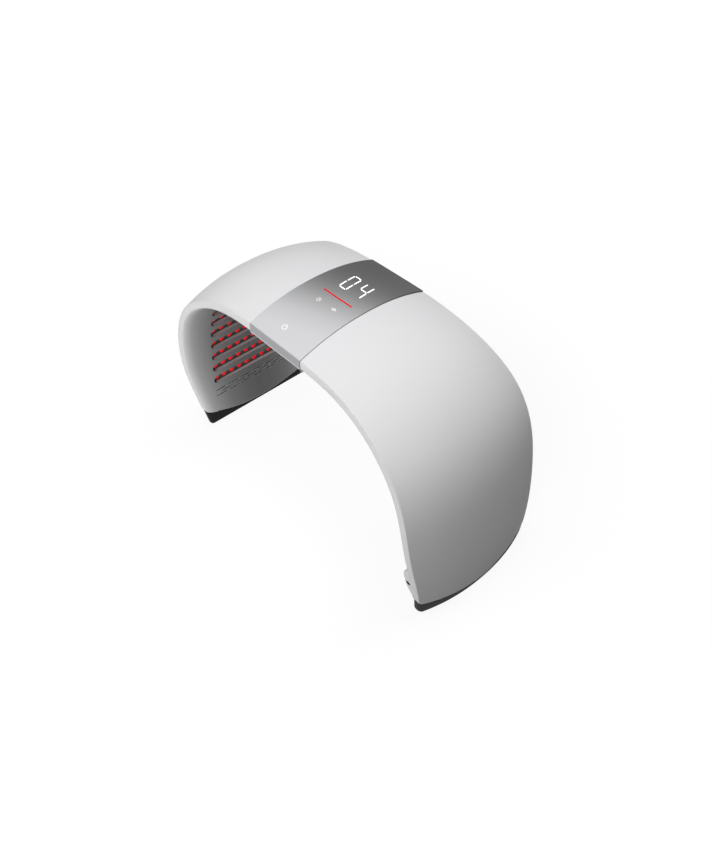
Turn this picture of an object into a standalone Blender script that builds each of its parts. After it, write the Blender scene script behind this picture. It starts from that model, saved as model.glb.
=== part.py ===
"""Arch-shaped LED lamp for the face: a display module with a folding wing on each side.

Metres, +Z up. X runs from the left foot to the right foot and Y from the front to the back.
The origin lies on the floor, in the middle of the lamp's footprint.
An arc position is a distance along the front outer edge, from the crown down to the floor.
An offset is a distance inward from that edge; a negative offset lies outside it.
"""
import math

import bmesh
import bpy
import numpy as np
from mathutils import Matrix, Vector

# Overall shape
HALF_SPAN = 0.2126  # middle plane to the front outer edge where the arch is widest
RISE = 0.2863  # floor to the front outer edge at the crown
FRONT_REACH = 0.0984  # middle plane to the front edge at the crown
BACK_REACH = 0.1041  # middle plane to the back edge at the foot
SWELL = 0.0154  # how far the outer surface bows out across the depth
SWELL_POWER = 2.15
INNER_OFFSET = 0.0112  # outer edge to the flat inner surface
TURN_STATION_SHARES = (0.0, 0.234, 0.469, 0.703, 0.937, 1.0)
TURN_RATE_SHARES = (-0.353, 2.666, 3.489, 0.470, 0.932, 0.932)
EDGE_STATION_SHARES = (0.0, 0.234, 0.469, 0.703, 0.937)
FRONT_REACH_SHARES = (1.0, 1.002, 1.036, 1.005, 0.815)
BACK_REACH_SHARES = (0.733, 0.747, 0.881, 0.956, 1.0)
PROFILE_STEPS = 800

# Fits and small shared sizes
GAP = 0.0003  # running and seating clearance
OVERRUN = 0.002  # how far a cutter runs past what it cuts
EDGE_BREAK = 0.0007  # small bevel between outer surface and rim
SKIN = 0.0022  # wall of the moulded shells
MERGE = 0.00002  # points closer than this are one

# Rim of a wing, which rolls over into the inner surface
RIM_FACE_HINGE = 0.0097
RIM_FACE_LEG = 0.0082
ROLL_DEPTH_HINGE = 0.0025
ROLL_DEPTH_LEG = 0.016
ROLL_CLEARANCE = 0.0140  # seam to where the roll starts to widen
ROLL_LENGTH = 0.145  # along which it widens

# Display module and seam
MODULE_HALF = 0.0410  # arc position of the seam
PROUD = 0.0012  # module's top above the wings
PROUD_FRONT = 0.0008  # module's front and back faces past the wings' rims
BASE_THICKNESS = 0.0020

# Wing's lower end
TONGUE_LOW = 0.0030  # floor to the shell's lowest point
TONGUE_RISE_FRONT = 0.0205
TONGUE_RISE_BACK = 0.0145
TONGUE_POWER = 2.2
CORNER_RADIUS = 0.0050
FOOT_WALL = 0.0060  # solid end of the shell above the foot
FOOT_CORNER = 0.0040
FOOT_CORNER_SHARES = (0.0, 0.3, 1.0)
FOOT_INSET = 0.0006

# Inner panel and its seat
FRAME_WIDTH = 0.0175  # rim edge to the panel
FRAME_THICKNESS = 0.0050
PANEL_THICKNESS = 0.0025
PANEL_CLEARANCE = 0.0030  # end of the hinge leaf to the panel
PANEL_FOOT_MARGIN = 0.0100
LEDGE = 0.0030

# LED rows and slots
ROW_CLEARANCE = 0.0195  # LED row nearest the foot to the first vent row
ROW_PITCH = 0.0218
ROW_MARGIN = 0.0120  # least distance from the panel's upper edge to a row
LED_INSET = 0.0218  # front edge at the floor to the first LED of each row
LED_BACK_MARGIN = 0.0375  # least distance from a row's last LED to the back edge
LED_PITCH = 0.0129
LED_SIZE = 0.0052
LED_HEIGHT = 0.0015
SLOT_WIDTH = 0.0128
SLOT_OVER = 0.0065  # slot's end past the centre of its last LED
BOARD_THICKNESS = 0.0012
BOARD_DEPTH = 0.0050  # panel's inner face to the top of the LEDs
BOARD_MARGIN = 0.0088
MODULE_BOARD_MARGIN = 0.0060
SPREADER_THICKNESS = 0.0013
POST_RADIUS = 0.0028

# Vent slots under the LED rows
VENT_RISE = 0.0539  # floor to the first vent row, along the arch
VENT_ROW_PITCH = 0.0050
VENT_ROWS = 3
VENT_PITCH = 0.0216
VENT_LENGTH = 0.0178
VENT_WIDTH = 0.0018
VENT_AHEAD = 0.0057  # first LED to the front end of the vents
VENT_BACK_MARGIN = 0.0250

# Display, light bar and boards
DIGIT_WIDTH = 0.0102
DIGIT_HEIGHT = 0.0266
DIGIT_STROKE = 0.0013
DIGIT_LEAN_SHARE = -0.13
DIGIT_JOIN = 0.0004
DIGIT_BEHIND = 0.0116  # module's middle to the foot of the digits
DIGIT_X = (-0.0116, 0.0093)
DIGIT_CASE_MARGIN = 0.0045
DISPLAY_CLEARANCE = 0.0010  # cover's inner face to the display's corners
DISPLAY_HEIGHT = 0.0055
BAR_X = (-0.0182, 0.0262)
BAR_AHEAD = 0.0039  # module's middle to the light bar
BAR_WIDTH = 0.0012
BAR_FLANGE = 0.0018
FLANGE_THICKNESS = 0.0012
CONTROL_THICKNESS = 0.0016
CONTROL_SIDE_MARGIN = 0.0140  # seam to the side of the control board
CONTROL_AHEAD = 0.0373  # module's middle to the board's front end
CONTROL_BEHIND = 0.0547
CONTROL_POST_INSET = 0.0056
TOUCH_SIDE_CLEARANCE = 0.0016  # control board's posts to the touch board
TOUCH_INSET = 0.0141  # module's front edge to the touch board
TOUCH_END = 0.0074  # light bar to the touch board
TOUCH_THICKNESS = 0.0010
TOUCH_CLEARANCE = 0.0006
BUZZER_RADIUS = 0.0050
BUZZER_HEIGHT = 0.0050
BUZZER_SIDE = 0.0150  # control board's side to the buzzer's axis
BUZZER_AHEAD = 0.0213
MODULE_ROWS = (-1, 0, 1)

# Hinges
AXIS_DROP = 0.0017  # flat inner surface to the hinge's axis
BARREL_RADIUS = 0.0024
PIN_RADIUS = 0.0011
HINGE_LENGTH = 0.0300
HINGE_INSET = 0.0010  # rim face to the end of the barrel
LEAF_REACH = 0.0140
LEAF_THICKNESS = 0.0010
KNUCKLES = 3
SCREW_RADIUS = 0.0010
SCREW_HEAD = 0.0018
SCREW_LENGTH = 0.0055
SCREW_INSET = 0.0060
SCREW_EDGE = 0.0050  # leaf's end to its screws
RIB_HALF = 0.0028
NECK_SINK = 0.0001

# Feet and their screws
FOOT_SCREW_PLACES_SHARE = (0.22, 0.78)
FOOT_SCREW_RADIUS = 0.0014
FOOT_HEAD_RADIUS = 0.0030
FOOT_HEAD_HEIGHT = 0.0016
FOOT_HEAD_RECESS = 0.0030
FOOT_SCREW_GRIP = 0.0048

# Power inlet and driver board, both in the right wing
INLET_RISE = 0.0599  # floor to the inlet's axis, along the arch
BOSS_REACH = 0.0340  # inlet's axis to each end of its bump
BOSS_TOP_UP = 0.0140  # inlet's axis to the ends of the bump's full height
BOSS_TOP_DOWN = 0.0080
BOSS_HEIGHT = 0.0082
BOSS_DIP = 0.0006  # how far the bump's ends dip under the inner surface
BOSS_EDGE = 0.0005  # bump to the panel's seat
BOSS_ROUND = 0.0040
BOSS_ROUND_SHARES = (0.0, 0.3, 1.0)
BOSS_SINK = 0.0015
BOSS_SET_BACK = 0.0006
SOCKET_DROP = 0.0032  # flat inner surface to the inlet's axis
SOCKET_RADIUS = 0.0033
SOCKET_HOLE = 0.00265
SOCKET_LENGTH = 0.0130
SOCKET_END = 0.0006  # clearance behind the socket
SOCKET_DEPTH = 0.0095
SOCKET_PIN = 0.0010
PIN_SET_BACK = 0.0012
DRIVER_RISE = 0.0259  # floor to the driver board, along the arch
DRIVER_LENGTH = 0.0300
DRIVER_FRONT_INSET = 0.0318  # front edge at the floor to the board
DRIVER_BACK_INSET = 0.0517
DRIVER_OFFSET = 0.0010
DRIVER_THICKNESS = 0.0016
DRIVER_POST_INSET = 0.0084

WING_SIDES = {"left": -1, "right": 1}
WING_STATIONS = 17
MODULE_STATIONS = 6
DEPTH_COLUMNS = 8
NEAR_COLUMN_SHARE = 0.6  # of the roll's width: rim to the first even column
EVEN_SHARE = 0.6  # how much of the stations' spacing is even
SHARP_ANGLE = math.radians(30)
SMALL_TURN = 1e-9
ALONG_Y = Matrix.Rotation(-math.pi / 2, 4, "X")


# Arch geometry

def running_sum(rate, step):
    """integral of evenly spaced samples by the trapezium rule, starting at zero"""
    return np.concatenate([[0.0], np.cumsum((rate[1:] + rate[:-1]) / 2 * step)])


def arch_table():
    """arc position, x, z and outward normal along the front outer edge, crown to floor"""
    share = np.linspace(0.0, 1.0, PROFILE_STEPS + 1)
    step = share[1]
    turn = running_sum(np.interp(share, TURN_STATION_SHARES, TURN_RATE_SHARES), step)
    x, fall = running_sum(np.cos(turn), step), running_sum(np.sin(turn), step)
    x = x * HALF_SPAN / x.max()
    z = RISE * (1 - fall / fall[-1])
    length = np.concatenate([[0.0], np.cumsum(np.hypot(np.diff(x), np.diff(z)))])
    dx, dz = np.gradient(x, length), np.gradient(z, length)
    size = np.hypot(dx, dz)
    return length, x, z, -dz / size, dx / size


ARC, ARCH_X, ARCH_Z, NORMAL_X, NORMAL_Z = arch_table()
ARC_END = float(ARC[-1])


def smooth_through(stations, values):
    """a smooth curve through the values, level at its start and straight past its end"""
    slopes = np.gradient(values, stations)
    slopes[0] = 0.0

    def curve(share):
        if share >= stations[-1]:
            return values[-1] + slopes[-1] * (share - stations[-1])
        i = min(int(np.searchsorted(stations, share, side="right")) - 1, len(stations) - 2)
        width = stations[i + 1] - stations[i]
        u = (share - stations[i]) / width
        return (values[i] * (1 + 2 * u) * (1 - u) ** 2 + values[i + 1] * u * u * (3 - 2 * u)
                + width * slopes[i] * u * (1 - u) ** 2 - width * slopes[i + 1] * u * u * (1 - u))
    return curve


FRONT_CURVE = smooth_through(np.array(EDGE_STATION_SHARES), -FRONT_REACH * np.array(FRONT_REACH_SHARES))
BACK_CURVE = smooth_through(np.array(EDGE_STATION_SHARES), BACK_REACH * np.array(BACK_REACH_SHARES))
EDGE_SAMPLES = [i / PROFILE_STEPS for i in range(PROFILE_STEPS + 1)]
FOREMOST = min(FRONT_CURVE(s) for s in EDGE_SAMPLES)
BACKMOST = max(BACK_CURVE(s) for s in EDGE_SAMPLES)
CENTRE_Y = (FOREMOST + BACKMOST) / 2


def front_y(arc):
    return FRONT_CURVE(abs(arc) / ARC_END) - CENTRE_Y


def back_y(arc):
    return BACK_CURVE(abs(arc) / ARC_END) - CENTRE_Y


# Places worked out from the sizes above

ROLL_START = MODULE_HALF + ROLL_CLEARANCE
ROLL_END = ROLL_START + ROLL_LENGTH
PANEL_START = MODULE_HALF + LEAF_REACH + PANEL_CLEARANCE
VENT_START = ARC_END - VENT_RISE
ROW_LAST = VENT_START - ROW_CLEARANCE
LED_FRONT_Y = front_y(ARC_END) + LED_INSET
VENT_FRONT_Y = LED_FRONT_Y - VENT_AHEAD
MIDDLE_Y = (front_y(0) + back_y(0)) / 2  # middle of the module
DIGIT_Y = MIDDLE_Y + DIGIT_BEHIND
BAR_Y = MIDDLE_Y - BAR_AHEAD
CONTROL_Y = (MIDDLE_Y - CONTROL_AHEAD, MIDDLE_Y + CONTROL_BEHIND)
CONTROL_HALF = MODULE_HALF - CONTROL_SIDE_MARGIN
TOUCH_HALF = CONTROL_HALF - CONTROL_POST_INSET - POST_RADIUS - TOUCH_SIDE_CLEARANCE
TOUCH_Y = (front_y(0) + TOUCH_INSET, BAR_Y - TOUCH_END)
BUZZER_PLACE = (-CONTROL_HALF + BUZZER_SIDE, MIDDLE_Y - BUZZER_AHEAD)
AXIS_OFFSET = INNER_OFFSET + AXIS_DROP
SCREW_OUT = LEAF_REACH - SCREW_EDGE
SOCKET_ARC = ARC_END - INLET_RISE
SOCKET_OFFSET = INNER_OFFSET + SOCKET_DROP
BOSS_START, BOSS_END = SOCKET_ARC - BOSS_REACH, SOCKET_ARC + BOSS_REACH
BOSS_PEAK, BOSS_FALL = SOCKET_ARC - BOSS_TOP_UP, SOCKET_ARC + BOSS_TOP_DOWN
BOSS_DEPTH = FRAME_WIDTH - BOSS_SET_BACK - BOSS_EDGE
DRIVER_ARC = (ARC_END - DRIVER_RISE - DRIVER_LENGTH, ARC_END - DRIVER_RISE)
DRIVER_Y = (front_y(ARC_END) + DRIVER_FRONT_INSET, back_y(ARC_END) - DRIVER_BACK_INSET)


def place(arc, offset, y):
    """world point at an arc position, an offset inward and a depth"""
    size, side = abs(arc), math.copysign(1, arc)
    x, z = np.interp(size, ARC, ARCH_X), np.interp(size, ARC, ARCH_Z)
    nx, nz = np.interp(size, ARC, NORMAL_X), np.interp(size, ARC, NORMAL_Z)
    return Vector((side * (x - offset * nx), y, z - offset * nz))


def frame_at(arc, y):
    """matrix at the outer edge line: X away from the crown, Z outward"""
    size, side = abs(arc), math.copysign(1, arc)
    nx, nz = float(np.interp(size, ARC, NORMAL_X)), float(np.interp(size, ARC, NORMAL_Z))
    origin = place(arc, 0, y)
    return Matrix(((side * nz, 0, side * nx, origin.x), (0, 1, 0, origin.y),
                   (-nx, 0, nz, origin.z), (0, 0, 0, 1)))


def swell(arc, y):
    """how far the outer surface bows out at this point"""
    front, back = front_y(arc), back_y(arc)
    v = min(1.0, abs((2 * y - front - back) / (back - front)))
    return SWELL * (1 - v ** SWELL_POWER)


def blend(low, high, value):
    """smooth step from 0 at low to 1 at high"""
    u = min(1.0, max(0.0, (value - low) / (high - low)))
    return u * u * (3 - 2 * u)


def edge_distance(arc, y):
    return min(y - front_y(arc), back_y(arc) - y)


def rounded(distance, radius):
    """how far a round edge draws back at this distance from the edge"""
    if distance >= radius:
        return 0.0
    return radius - math.sqrt(max(0.0, radius ** 2 - (radius - max(distance, 0.0)) ** 2))


def rim_offset(arc, y):
    """offset of the wing's inner surface, drawn outward where the rim rolls over"""
    grow = blend(ROLL_START, ROLL_END, abs(arc))
    face = RIM_FACE_HINGE + (RIM_FACE_LEG - RIM_FACE_HINGE) * grow
    width = ROLL_DEPTH_HINGE + (ROLL_DEPTH_LEG - ROLL_DEPTH_HINGE) * grow
    reach = INNER_OFFSET - face
    share = rounded(edge_distance(arc, y), width) / width
    return INNER_OFFSET - reach * share


def wing_outer(arc, y):
    """offset of the wing's outer surface with its small edge bevel"""
    return max(0.0, EDGE_BREAK - edge_distance(arc, y)) - swell(arc, y)


def tongue_height(y):
    """height of the shell's lower edge, lowest in the middle and round at the corners"""
    front, back = front_y(ARC_END), back_y(ARC_END)
    v = (2 * y - front - back) / (back - front)
    rise = TONGUE_RISE_FRONT if v < 0 else TONGUE_RISE_BACK
    corner = rounded(min(y - front, back - y), CORNER_RADIUS)
    return TONGUE_LOW + rise * min(1.0, abs(v)) ** TONGUE_POWER + corner


def tongue_arc(y, lift=0.0):
    """arc position of the shell's lower edge, raised by a lift"""
    height = tongue_height(y) + lift
    return float(np.interp(-height, -ARCH_Z, ARC))


# Columns are lines along the arch: from the front edge, from the back edge or a share of the depth

def column_y(arc, column):
    kind, value = column
    if kind == "front":
        return front_y(arc) + value
    if kind == "back":
        return back_y(arc) - value
    if kind == "fixed":
        return value
    return front_y(arc) + value * (back_y(arc) - front_y(arc))


def inner_columns(margin, count):
    """columns from one margin to the other, with shares of the depth between them"""
    depth = FRONT_REACH + BACK_REACH
    start = margin / depth
    between = [start + (1 - 2 * start) * (i + 1) / count for i in range(count - 1)]
    return [("front", margin)] + [("share", s) for s in between] + [("back", margin)]


def rim_columns():
    """columns over the whole depth, closer where the rim rolls and the corners are round"""
    near = (0.0, EDGE_BREAK, CORNER_RADIUS)
    rest = inner_columns(NEAR_COLUMN_SHARE * ROLL_DEPTH_LEG, DEPTH_COLUMNS)
    return [("front", d) for d in near] + rest + [("back", d) for d in reversed(near)]


def stations(start, end, count):
    """shares from start to end, closer where the arch turns more"""
    arcs = np.linspace(start, end, PROFILE_STEPS)
    size = np.abs(arcs)
    turn = np.arctan2(np.interp(size, ARC, NORMAL_X), np.interp(size, ARC, NORMAL_Z))
    path = np.concatenate([[0.0], np.cumsum(np.abs(np.diff(turn)))])
    weight = path / max(path[-1], SMALL_TURN) + np.linspace(0.0, EVEN_SHARE, PROFILE_STEPS)
    steps = np.linspace(0.0, weight[-1], count + 1)
    return np.interp(steps, weight, np.linspace(0.0, 1.0, PROFILE_STEPS))


# Mesh helpers

def reset_scene():
    for item in list(bpy.data.objects):
        bpy.data.objects.remove(item, do_unlink=True)


def make_collection(name):
    collection = bpy.data.collections.new(name)
    bpy.context.scene.collection.children.link(collection)
    return collection


def make_material(name, colour, roughness, metallic=0.0):
    material = bpy.data.materials.new(name)
    material.use_nodes = True
    shader = material.node_tree.nodes["Principled BSDF"]
    shader.inputs["Base Color"].default_value = (*colour, 1)
    shader.inputs["Roughness"].default_value = roughness
    shader.inputs["Metallic"].default_value = metallic
    material.diffuse_color = (*colour, 1)
    return material


def show_as(item, collection, material=None):
    """link a piece with its material, or a cutter as hidden wire"""
    collection.objects.link(item)
    if material is None:
        item.hide_render = True
        item.display_type = "WIRE"
    elif not item.data.materials:
        item.data.materials.append(material)


def add_object(name, mesh_data, collection, material=None):
    bmesh.ops.recalc_face_normals(mesh_data, faces=mesh_data.faces)
    if mesh_data.calc_volume(signed=True) < 0:
        bmesh.ops.reverse_faces(mesh_data, faces=mesh_data.faces)
    mesh = bpy.data.meshes.new(name)
    mesh_data.to_mesh(mesh)
    mesh_data.free()
    mesh.shade_smooth()
    mesh.set_sharp_from_angle(angle=SHARP_ANGLE)
    item = bpy.data.objects.new(name, mesh)
    show_as(item, collection, material)
    return item


def profile_mesh(name, profile):
    """line of radius and height pairs for a turned shape, from its top to its bottom"""
    mesh_data = bmesh.new()
    points = [mesh_data.verts.new((radius, 0, height)) for radius, height in profile]
    for start, end in zip(points, points[1:]):
        mesh_data.edges.new((start, end))
    mesh = bpy.data.meshes.new(name)
    mesh_data.to_mesh(mesh)
    mesh_data.free()
    return mesh


def turned(name, profile, matrix, steps, collection, material=None):
    """shape turned from a profile mesh about the matrix's Z axis"""
    item = bpy.data.objects.new(name, profile)
    item.matrix_world = matrix
    show_as(item, collection, material)
    modifier = item.modifiers.new("Turn", "SCREW")
    modifier.steps = modifier.render_steps = steps
    modifier.use_merge_vertices = True
    modifier.merge_threshold = MERGE
    return item


def boolean(item, tool, operation="DIFFERENCE"):
    modifier = item.modifiers.new(operation.title(), "BOOLEAN")
    modifier.operation = operation
    modifier.solver = "EXACT"
    modifier.object = tool


def unit_slab(mesh, rows, columns):
    """closed slab of unit size, split into rows along X and columns along Y; gives its vertices"""
    corner = Matrix.Translation((1 / 2, 1 / 2, 0))
    before = len(mesh.faces)
    grid = bmesh.ops.create_grid(mesh, x_segments=rows, y_segments=columns, size=1 / 2,
                                 matrix=corner)["verts"]
    raised = bmesh.ops.extrude_face_region(mesh, geom=list(mesh.faces)[before:])["geom"]
    top = [item for item in raised if isinstance(item, bmesh.types.BMVert)]
    bmesh.ops.translate(mesh, verts=top, vec=(0, 0, 1))
    return list(grid) + top


def bend(verts, arcs, columns, outer, inner):
    """lay a unit slab's vertices on the arch, with its top on the outer surface"""
    for vert in verts:
        i, j = round(vert.co.x * (len(arcs) - 1)), round(vert.co.y * (len(columns) - 1))
        arc = arcs[i][j]
        y = column_y(arc, columns[j])
        surface = outer if vert.co.z > 1 / 2 else inner
        vert.co = place(arc, surface(arc, y), y)


def slab(arcs, columns, outer, inner, mesh=None):
    """closed sheet between two offset surfaces; arcs gives each column's arc positions"""
    mesh = bmesh.new() if mesh is None else mesh
    bend(unit_slab(mesh, len(arcs) - 1, len(columns) - 1), arcs, columns, outer, inner)
    return mesh


def even_rows(start, end, count, columns):
    """arc rows square to the arch"""
    return [[start + (end - start) * s] * len(columns) for s in stations(start, end, count)]


def tongue_rows(side, start, count, columns, lift):
    """arc rows that end along the shell's lower edge, raised by a lift"""
    ends = [tongue_arc(column_y(ARC_END, column), lift) for column in columns]
    shares = stations(start, max(ends), count)
    return [[side * (start + (end - start) * s) for end in ends] for s in shares]


def add_box(mesh, matrix, x, y, z):
    """box between two limits along each of the matrix's axes"""
    centre = Matrix.Translation([(low + high) / 2 for low, high in (x, y, z)])
    size = Matrix.Diagonal([abs(high - low) for low, high in (x, y, z)]).to_4x4()
    bmesh.ops.create_cube(mesh, size=1, matrix=matrix @ centre @ size)


def add_cylinder(mesh, matrix, radius, low, high, segments):
    """cylinder along the matrix's Z axis"""
    middle = Matrix.Translation((0, 0, (low + high) / 2))
    return bmesh.ops.create_cone(mesh, cap_ends=True, segments=segments, radius1=radius, radius2=radius,
                                 depth=high - low, matrix=matrix @ middle)["verts"]


def add_slot(mesh, matrix, length, width, low, high, segments=12):
    """bar with round ends along the matrix's Y axis: a cylinder whose halves are drawn apart"""
    step = math.pi / segments
    radius = width / 2 / math.cos(step)
    for vert in add_cylinder(mesh, Matrix.Rotation(step, 4, "Z"), radius, low, high, segments):
        vert.co.y += math.copysign((length - width) / 2, vert.co.y)
        vert.co = matrix @ vert.co


def filled_outlines(outlines):
    """flat outlines filled and thickened: a 2D curve made into a mesh"""
    curve = bpy.data.curves.new("outline", "CURVE")
    curve.dimensions, curve.fill_mode, curve.extrude = "2D", "BOTH", 1 / 2
    for outline in outlines:
        spline = curve.splines.new("POLY")
        spline.points.add(len(outline) - 1)
        for point, (x, y) in zip(spline.points, outline):
            point.co = (x, y, 0, 1)
        spline.use_cyclic_u = True
    item = bpy.data.objects.new("outline", curve)
    bpy.context.scene.collection.objects.link(item)
    graph = bpy.context.evaluated_depsgraph_get()
    flat = bpy.data.meshes.new_from_object(item.evaluated_get(graph))
    mesh = bmesh.new()
    mesh.from_mesh(flat)
    bmesh.ops.remove_doubles(mesh, verts=mesh.verts, dist=MERGE)
    bpy.data.objects.remove(item)
    bpy.data.curves.remove(curve)
    bpy.data.meshes.remove(flat)
    return mesh


def surface_prism(outlines, low, high):
    """prisms on outlines of arc and depth pairs, whose two ends follow offset surfaces"""
    mesh = filled_outlines(outlines)
    for vert in mesh.verts:
        arc, y, level = vert.co
        vert.co = place(arc, (high if level > 0 else low)(arc, y), y)
    return mesh


def box_outline(x0, x1, y0, y1):
    return [(x0, y0), (x1, y0), (x1, y1), (x0, y1)]


# Hinge geometry, in a frame on the hinge's axis: X away from the module, Y back, Z outward

def hinge_frame(side, y):
    return frame_at(side * MODULE_HALF, y) @ Matrix.Translation((0, 0, -AXIS_OFFSET))


def hinge_starts():
    """depth of the front end of each hinge"""
    front = front_y(MODULE_HALF) + HINGE_INSET
    back = back_y(MODULE_HALF) - HINGE_INSET - HINGE_LENGTH
    return {"front": front, "back": back}


def knuckle_spans(wing):
    """lengths of barrel that belong to the wing's leaf or to the module's"""
    pitch = HINGE_LENGTH / KNUCKLES
    spans = [(i * pitch + GAP / 2, (i + 1) * pitch - GAP / 2) for i in range(KNUCKLES)]
    return spans[1::2] if wing else spans[0::2]


def leaf_levels():
    """the leaf's two faces above the hinge's axis"""
    return BARREL_RADIUS - LEAF_THICKNESS, BARREL_RADIUS


def screw_places():
    return [SCREW_INSET, HINGE_LENGTH - SCREW_INSET]


# Pieces of a wing

def wing_shell(side):
    columns = rim_columns()
    rows = tongue_rows(side, MODULE_HALF + GAP, WING_STATIONS, columns, 0.0)
    return slab(rows, columns, wing_outer, rim_offset)


def wing_cavity(side):
    columns = inner_columns(SKIN, DEPTH_COLUMNS)
    rows = tongue_rows(side, MODULE_HALF + GAP + SKIN, WING_STATIONS - 4, columns, FOOT_WALL)
    return slab(rows, columns, lambda arc, y: SKIN - swell(arc, y),
                lambda arc, y: INNER_OFFSET - FRAME_THICKNESS)


def wing_window(side, shrink, low, high):
    """opening through the frame, smaller than the panel's seat by a shrink all round"""
    columns = inner_columns(FRAME_WIDTH + shrink, DEPTH_COLUMNS - 4)
    rows = tongue_rows(side, PANEL_START + shrink, WING_STATIONS - 2, columns, PANEL_FOOT_MARGIN + shrink)
    return slab(rows, columns, lambda arc, y: low, lambda arc, y: high)


def panel_sheet(side):
    return wing_window(side, GAP, INNER_OFFSET - PANEL_THICKNESS, INNER_OFFSET)


def led_count(arc):
    """LEDs that fit in a row before the back edge"""
    return 1 + int((back_y(arc) - LED_BACK_MARGIN - LED_FRONT_Y) / LED_PITCH)


def led_rows():
    """arc position and number of LEDs of each row, foot first"""
    count = 1 + int((ROW_LAST - PANEL_START - ROW_MARGIN) / ROW_PITCH)
    arcs = [ROW_LAST - i * ROW_PITCH for i in range(count)]
    return [(arc, led_count(arc)) for arc in arcs]


def slot_cutters(rows):
    mesh = bmesh.new()
    for arc, count in rows:
        span = (count - 1) * LED_PITCH
        add_slot(mesh, frame_at(arc, LED_FRONT_Y + span / 2), span + 2 * SLOT_OVER, SLOT_WIDTH,
                 -INNER_OFFSET - OVERRUN, -INNER_OFFSET + FRAME_THICKNESS)
    return mesh


def vent_places():
    """arc position and middle of each vent slot, in a brick pattern"""
    count = int((back_y(VENT_START) - VENT_BACK_MARGIN - VENT_FRONT_Y) / VENT_PITCH)
    places = []
    for row in range(VENT_ROWS):
        first = VENT_FRONT_Y + VENT_LENGTH / 2 + VENT_PITCH / 2 * (row % 2)
        arc = VENT_START + row * VENT_ROW_PITCH
        places += [(arc, first + i * VENT_PITCH) for i in range(count - row % 2)]
    return places


def vent_cutters(side):
    mesh = bmesh.new()
    for arc, y in vent_places():
        add_slot(mesh, frame_at(side * arc, y), VENT_LENGTH, VENT_WIDTH,
                 -INNER_OFFSET - OVERRUN, -INNER_OFFSET + FRAME_THICKNESS, 8)
    return mesh


def board_offsets():
    """offsets of the LED board's back and of its face"""
    face = INNER_OFFSET - BOARD_DEPTH - LED_HEIGHT
    return face - BOARD_THICKNESS, face


def row_lines(centre, half):
    return (centre - half, centre + half)


def board_lines(places, margin):
    """bends of the board: both sides of each row of LEDs, and its two ends"""
    sides = [line for centre in places for line in row_lines(centre, LED_SIZE / 2)]
    return [places[0] - margin] + sides + [places[-1] + margin]


def led_places(rows):
    """depth of each LED of the longest row"""
    return [LED_FRONT_Y + i * LED_PITCH for i in range(max(count for _, count in rows))]


def plain_back(mesh, columns):
    """join the top faces of a unit slab across its columns"""
    inner = [edge for edge in mesh.edges if all(v.co.z > 1 / 2 for v in edge.verts)
             and round(edge.verts[0].co.y * columns) == round(edge.verts[1].co.y * columns)
             and 0 < round(edge.verts[0].co.y * columns) < columns]
    bmesh.ops.dissolve_edges(mesh, edges=inner, use_verts=True)


def led_faces(mesh, arcs, places, counts):
    """faces of a unit slab's underside that carry an LED, with its arc position and depth"""
    rows, columns = 2 * len(arcs) + 1, 2 * len(places) + 1
    lit = []
    for face in mesh.faces:
        centre = face.calc_center_median()
        i, j = int(centre.x * rows), int(centre.y * columns)
        if centre.z < 1 / columns ** 2 and i % 2 and j % 2 and j // 2 < counts[arcs[i // 2]]:
            lit.append((face, arcs[i // 2], places[j // 2]))
    return lit


def led_board(rows, margin=BOARD_MARGIN):
    """curved board with a low peaked lens on each LED; its back is a plain strip"""
    back, face = board_offsets()
    arcs, places = sorted(arc for arc, _ in rows), led_places(rows)
    columns = [("fixed", y) for y in board_lines(places, margin)]
    lines = [[arc] * len(columns) for arc in board_lines(arcs, margin)]
    mesh = bmesh.new()
    unit_slab(mesh, len(lines) - 1, len(columns) - 1)
    lit = led_faces(mesh, arcs, places, dict(rows))
    plain_back(mesh, len(columns) - 1)
    bend(mesh.verts, lines, columns, lambda arc, y: back, lambda arc, y: face)
    for square, arc, y in lit:
        peak = bmesh.ops.poke(mesh, faces=[square])["verts"][0]
        peak.co = place(arc, face + LED_HEIGHT, y)
    return mesh


def spreader(rows):
    """curved metal sheet behind the LED board, with the same bends"""
    back, _ = board_offsets()
    places = led_places(rows)
    columns = [("fixed", places[0] - BOARD_MARGIN), ("fixed", places[-1] + BOARD_MARGIN)]
    bends = board_lines(sorted(arc for arc, _ in rows), BOARD_MARGIN)
    arc_rows = [[arc] * 2 for arc in bends]
    face = back - GAP
    return slab(arc_rows, columns, lambda arc, y: face - SPREADER_THICKNESS, lambda arc, y: face)


def post_places(side):
    """posts that carry the heat spreader: between LED rows, inside the sheet"""
    rows = led_rows()
    first, last = rows[-1][0] + ROW_PITCH * 3 / 2, rows[0][0] - ROW_PITCH / 2
    shortest = min(count for _, count in rows)
    ys = (LED_FRONT_Y, LED_FRONT_Y + (shortest - 1) * LED_PITCH)
    return [(side * arc, y) for arc in (first, last) for y in ys]


def posts(places, base, tip):
    """round posts from a surface to a level; base and tip give offsets"""
    mesh = bmesh.new()
    for arc, y in places:
        add_cylinder(mesh, frame_at(arc, y), POST_RADIUS, -tip(arc, y), -base(arc, y), 8)
    return mesh


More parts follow.
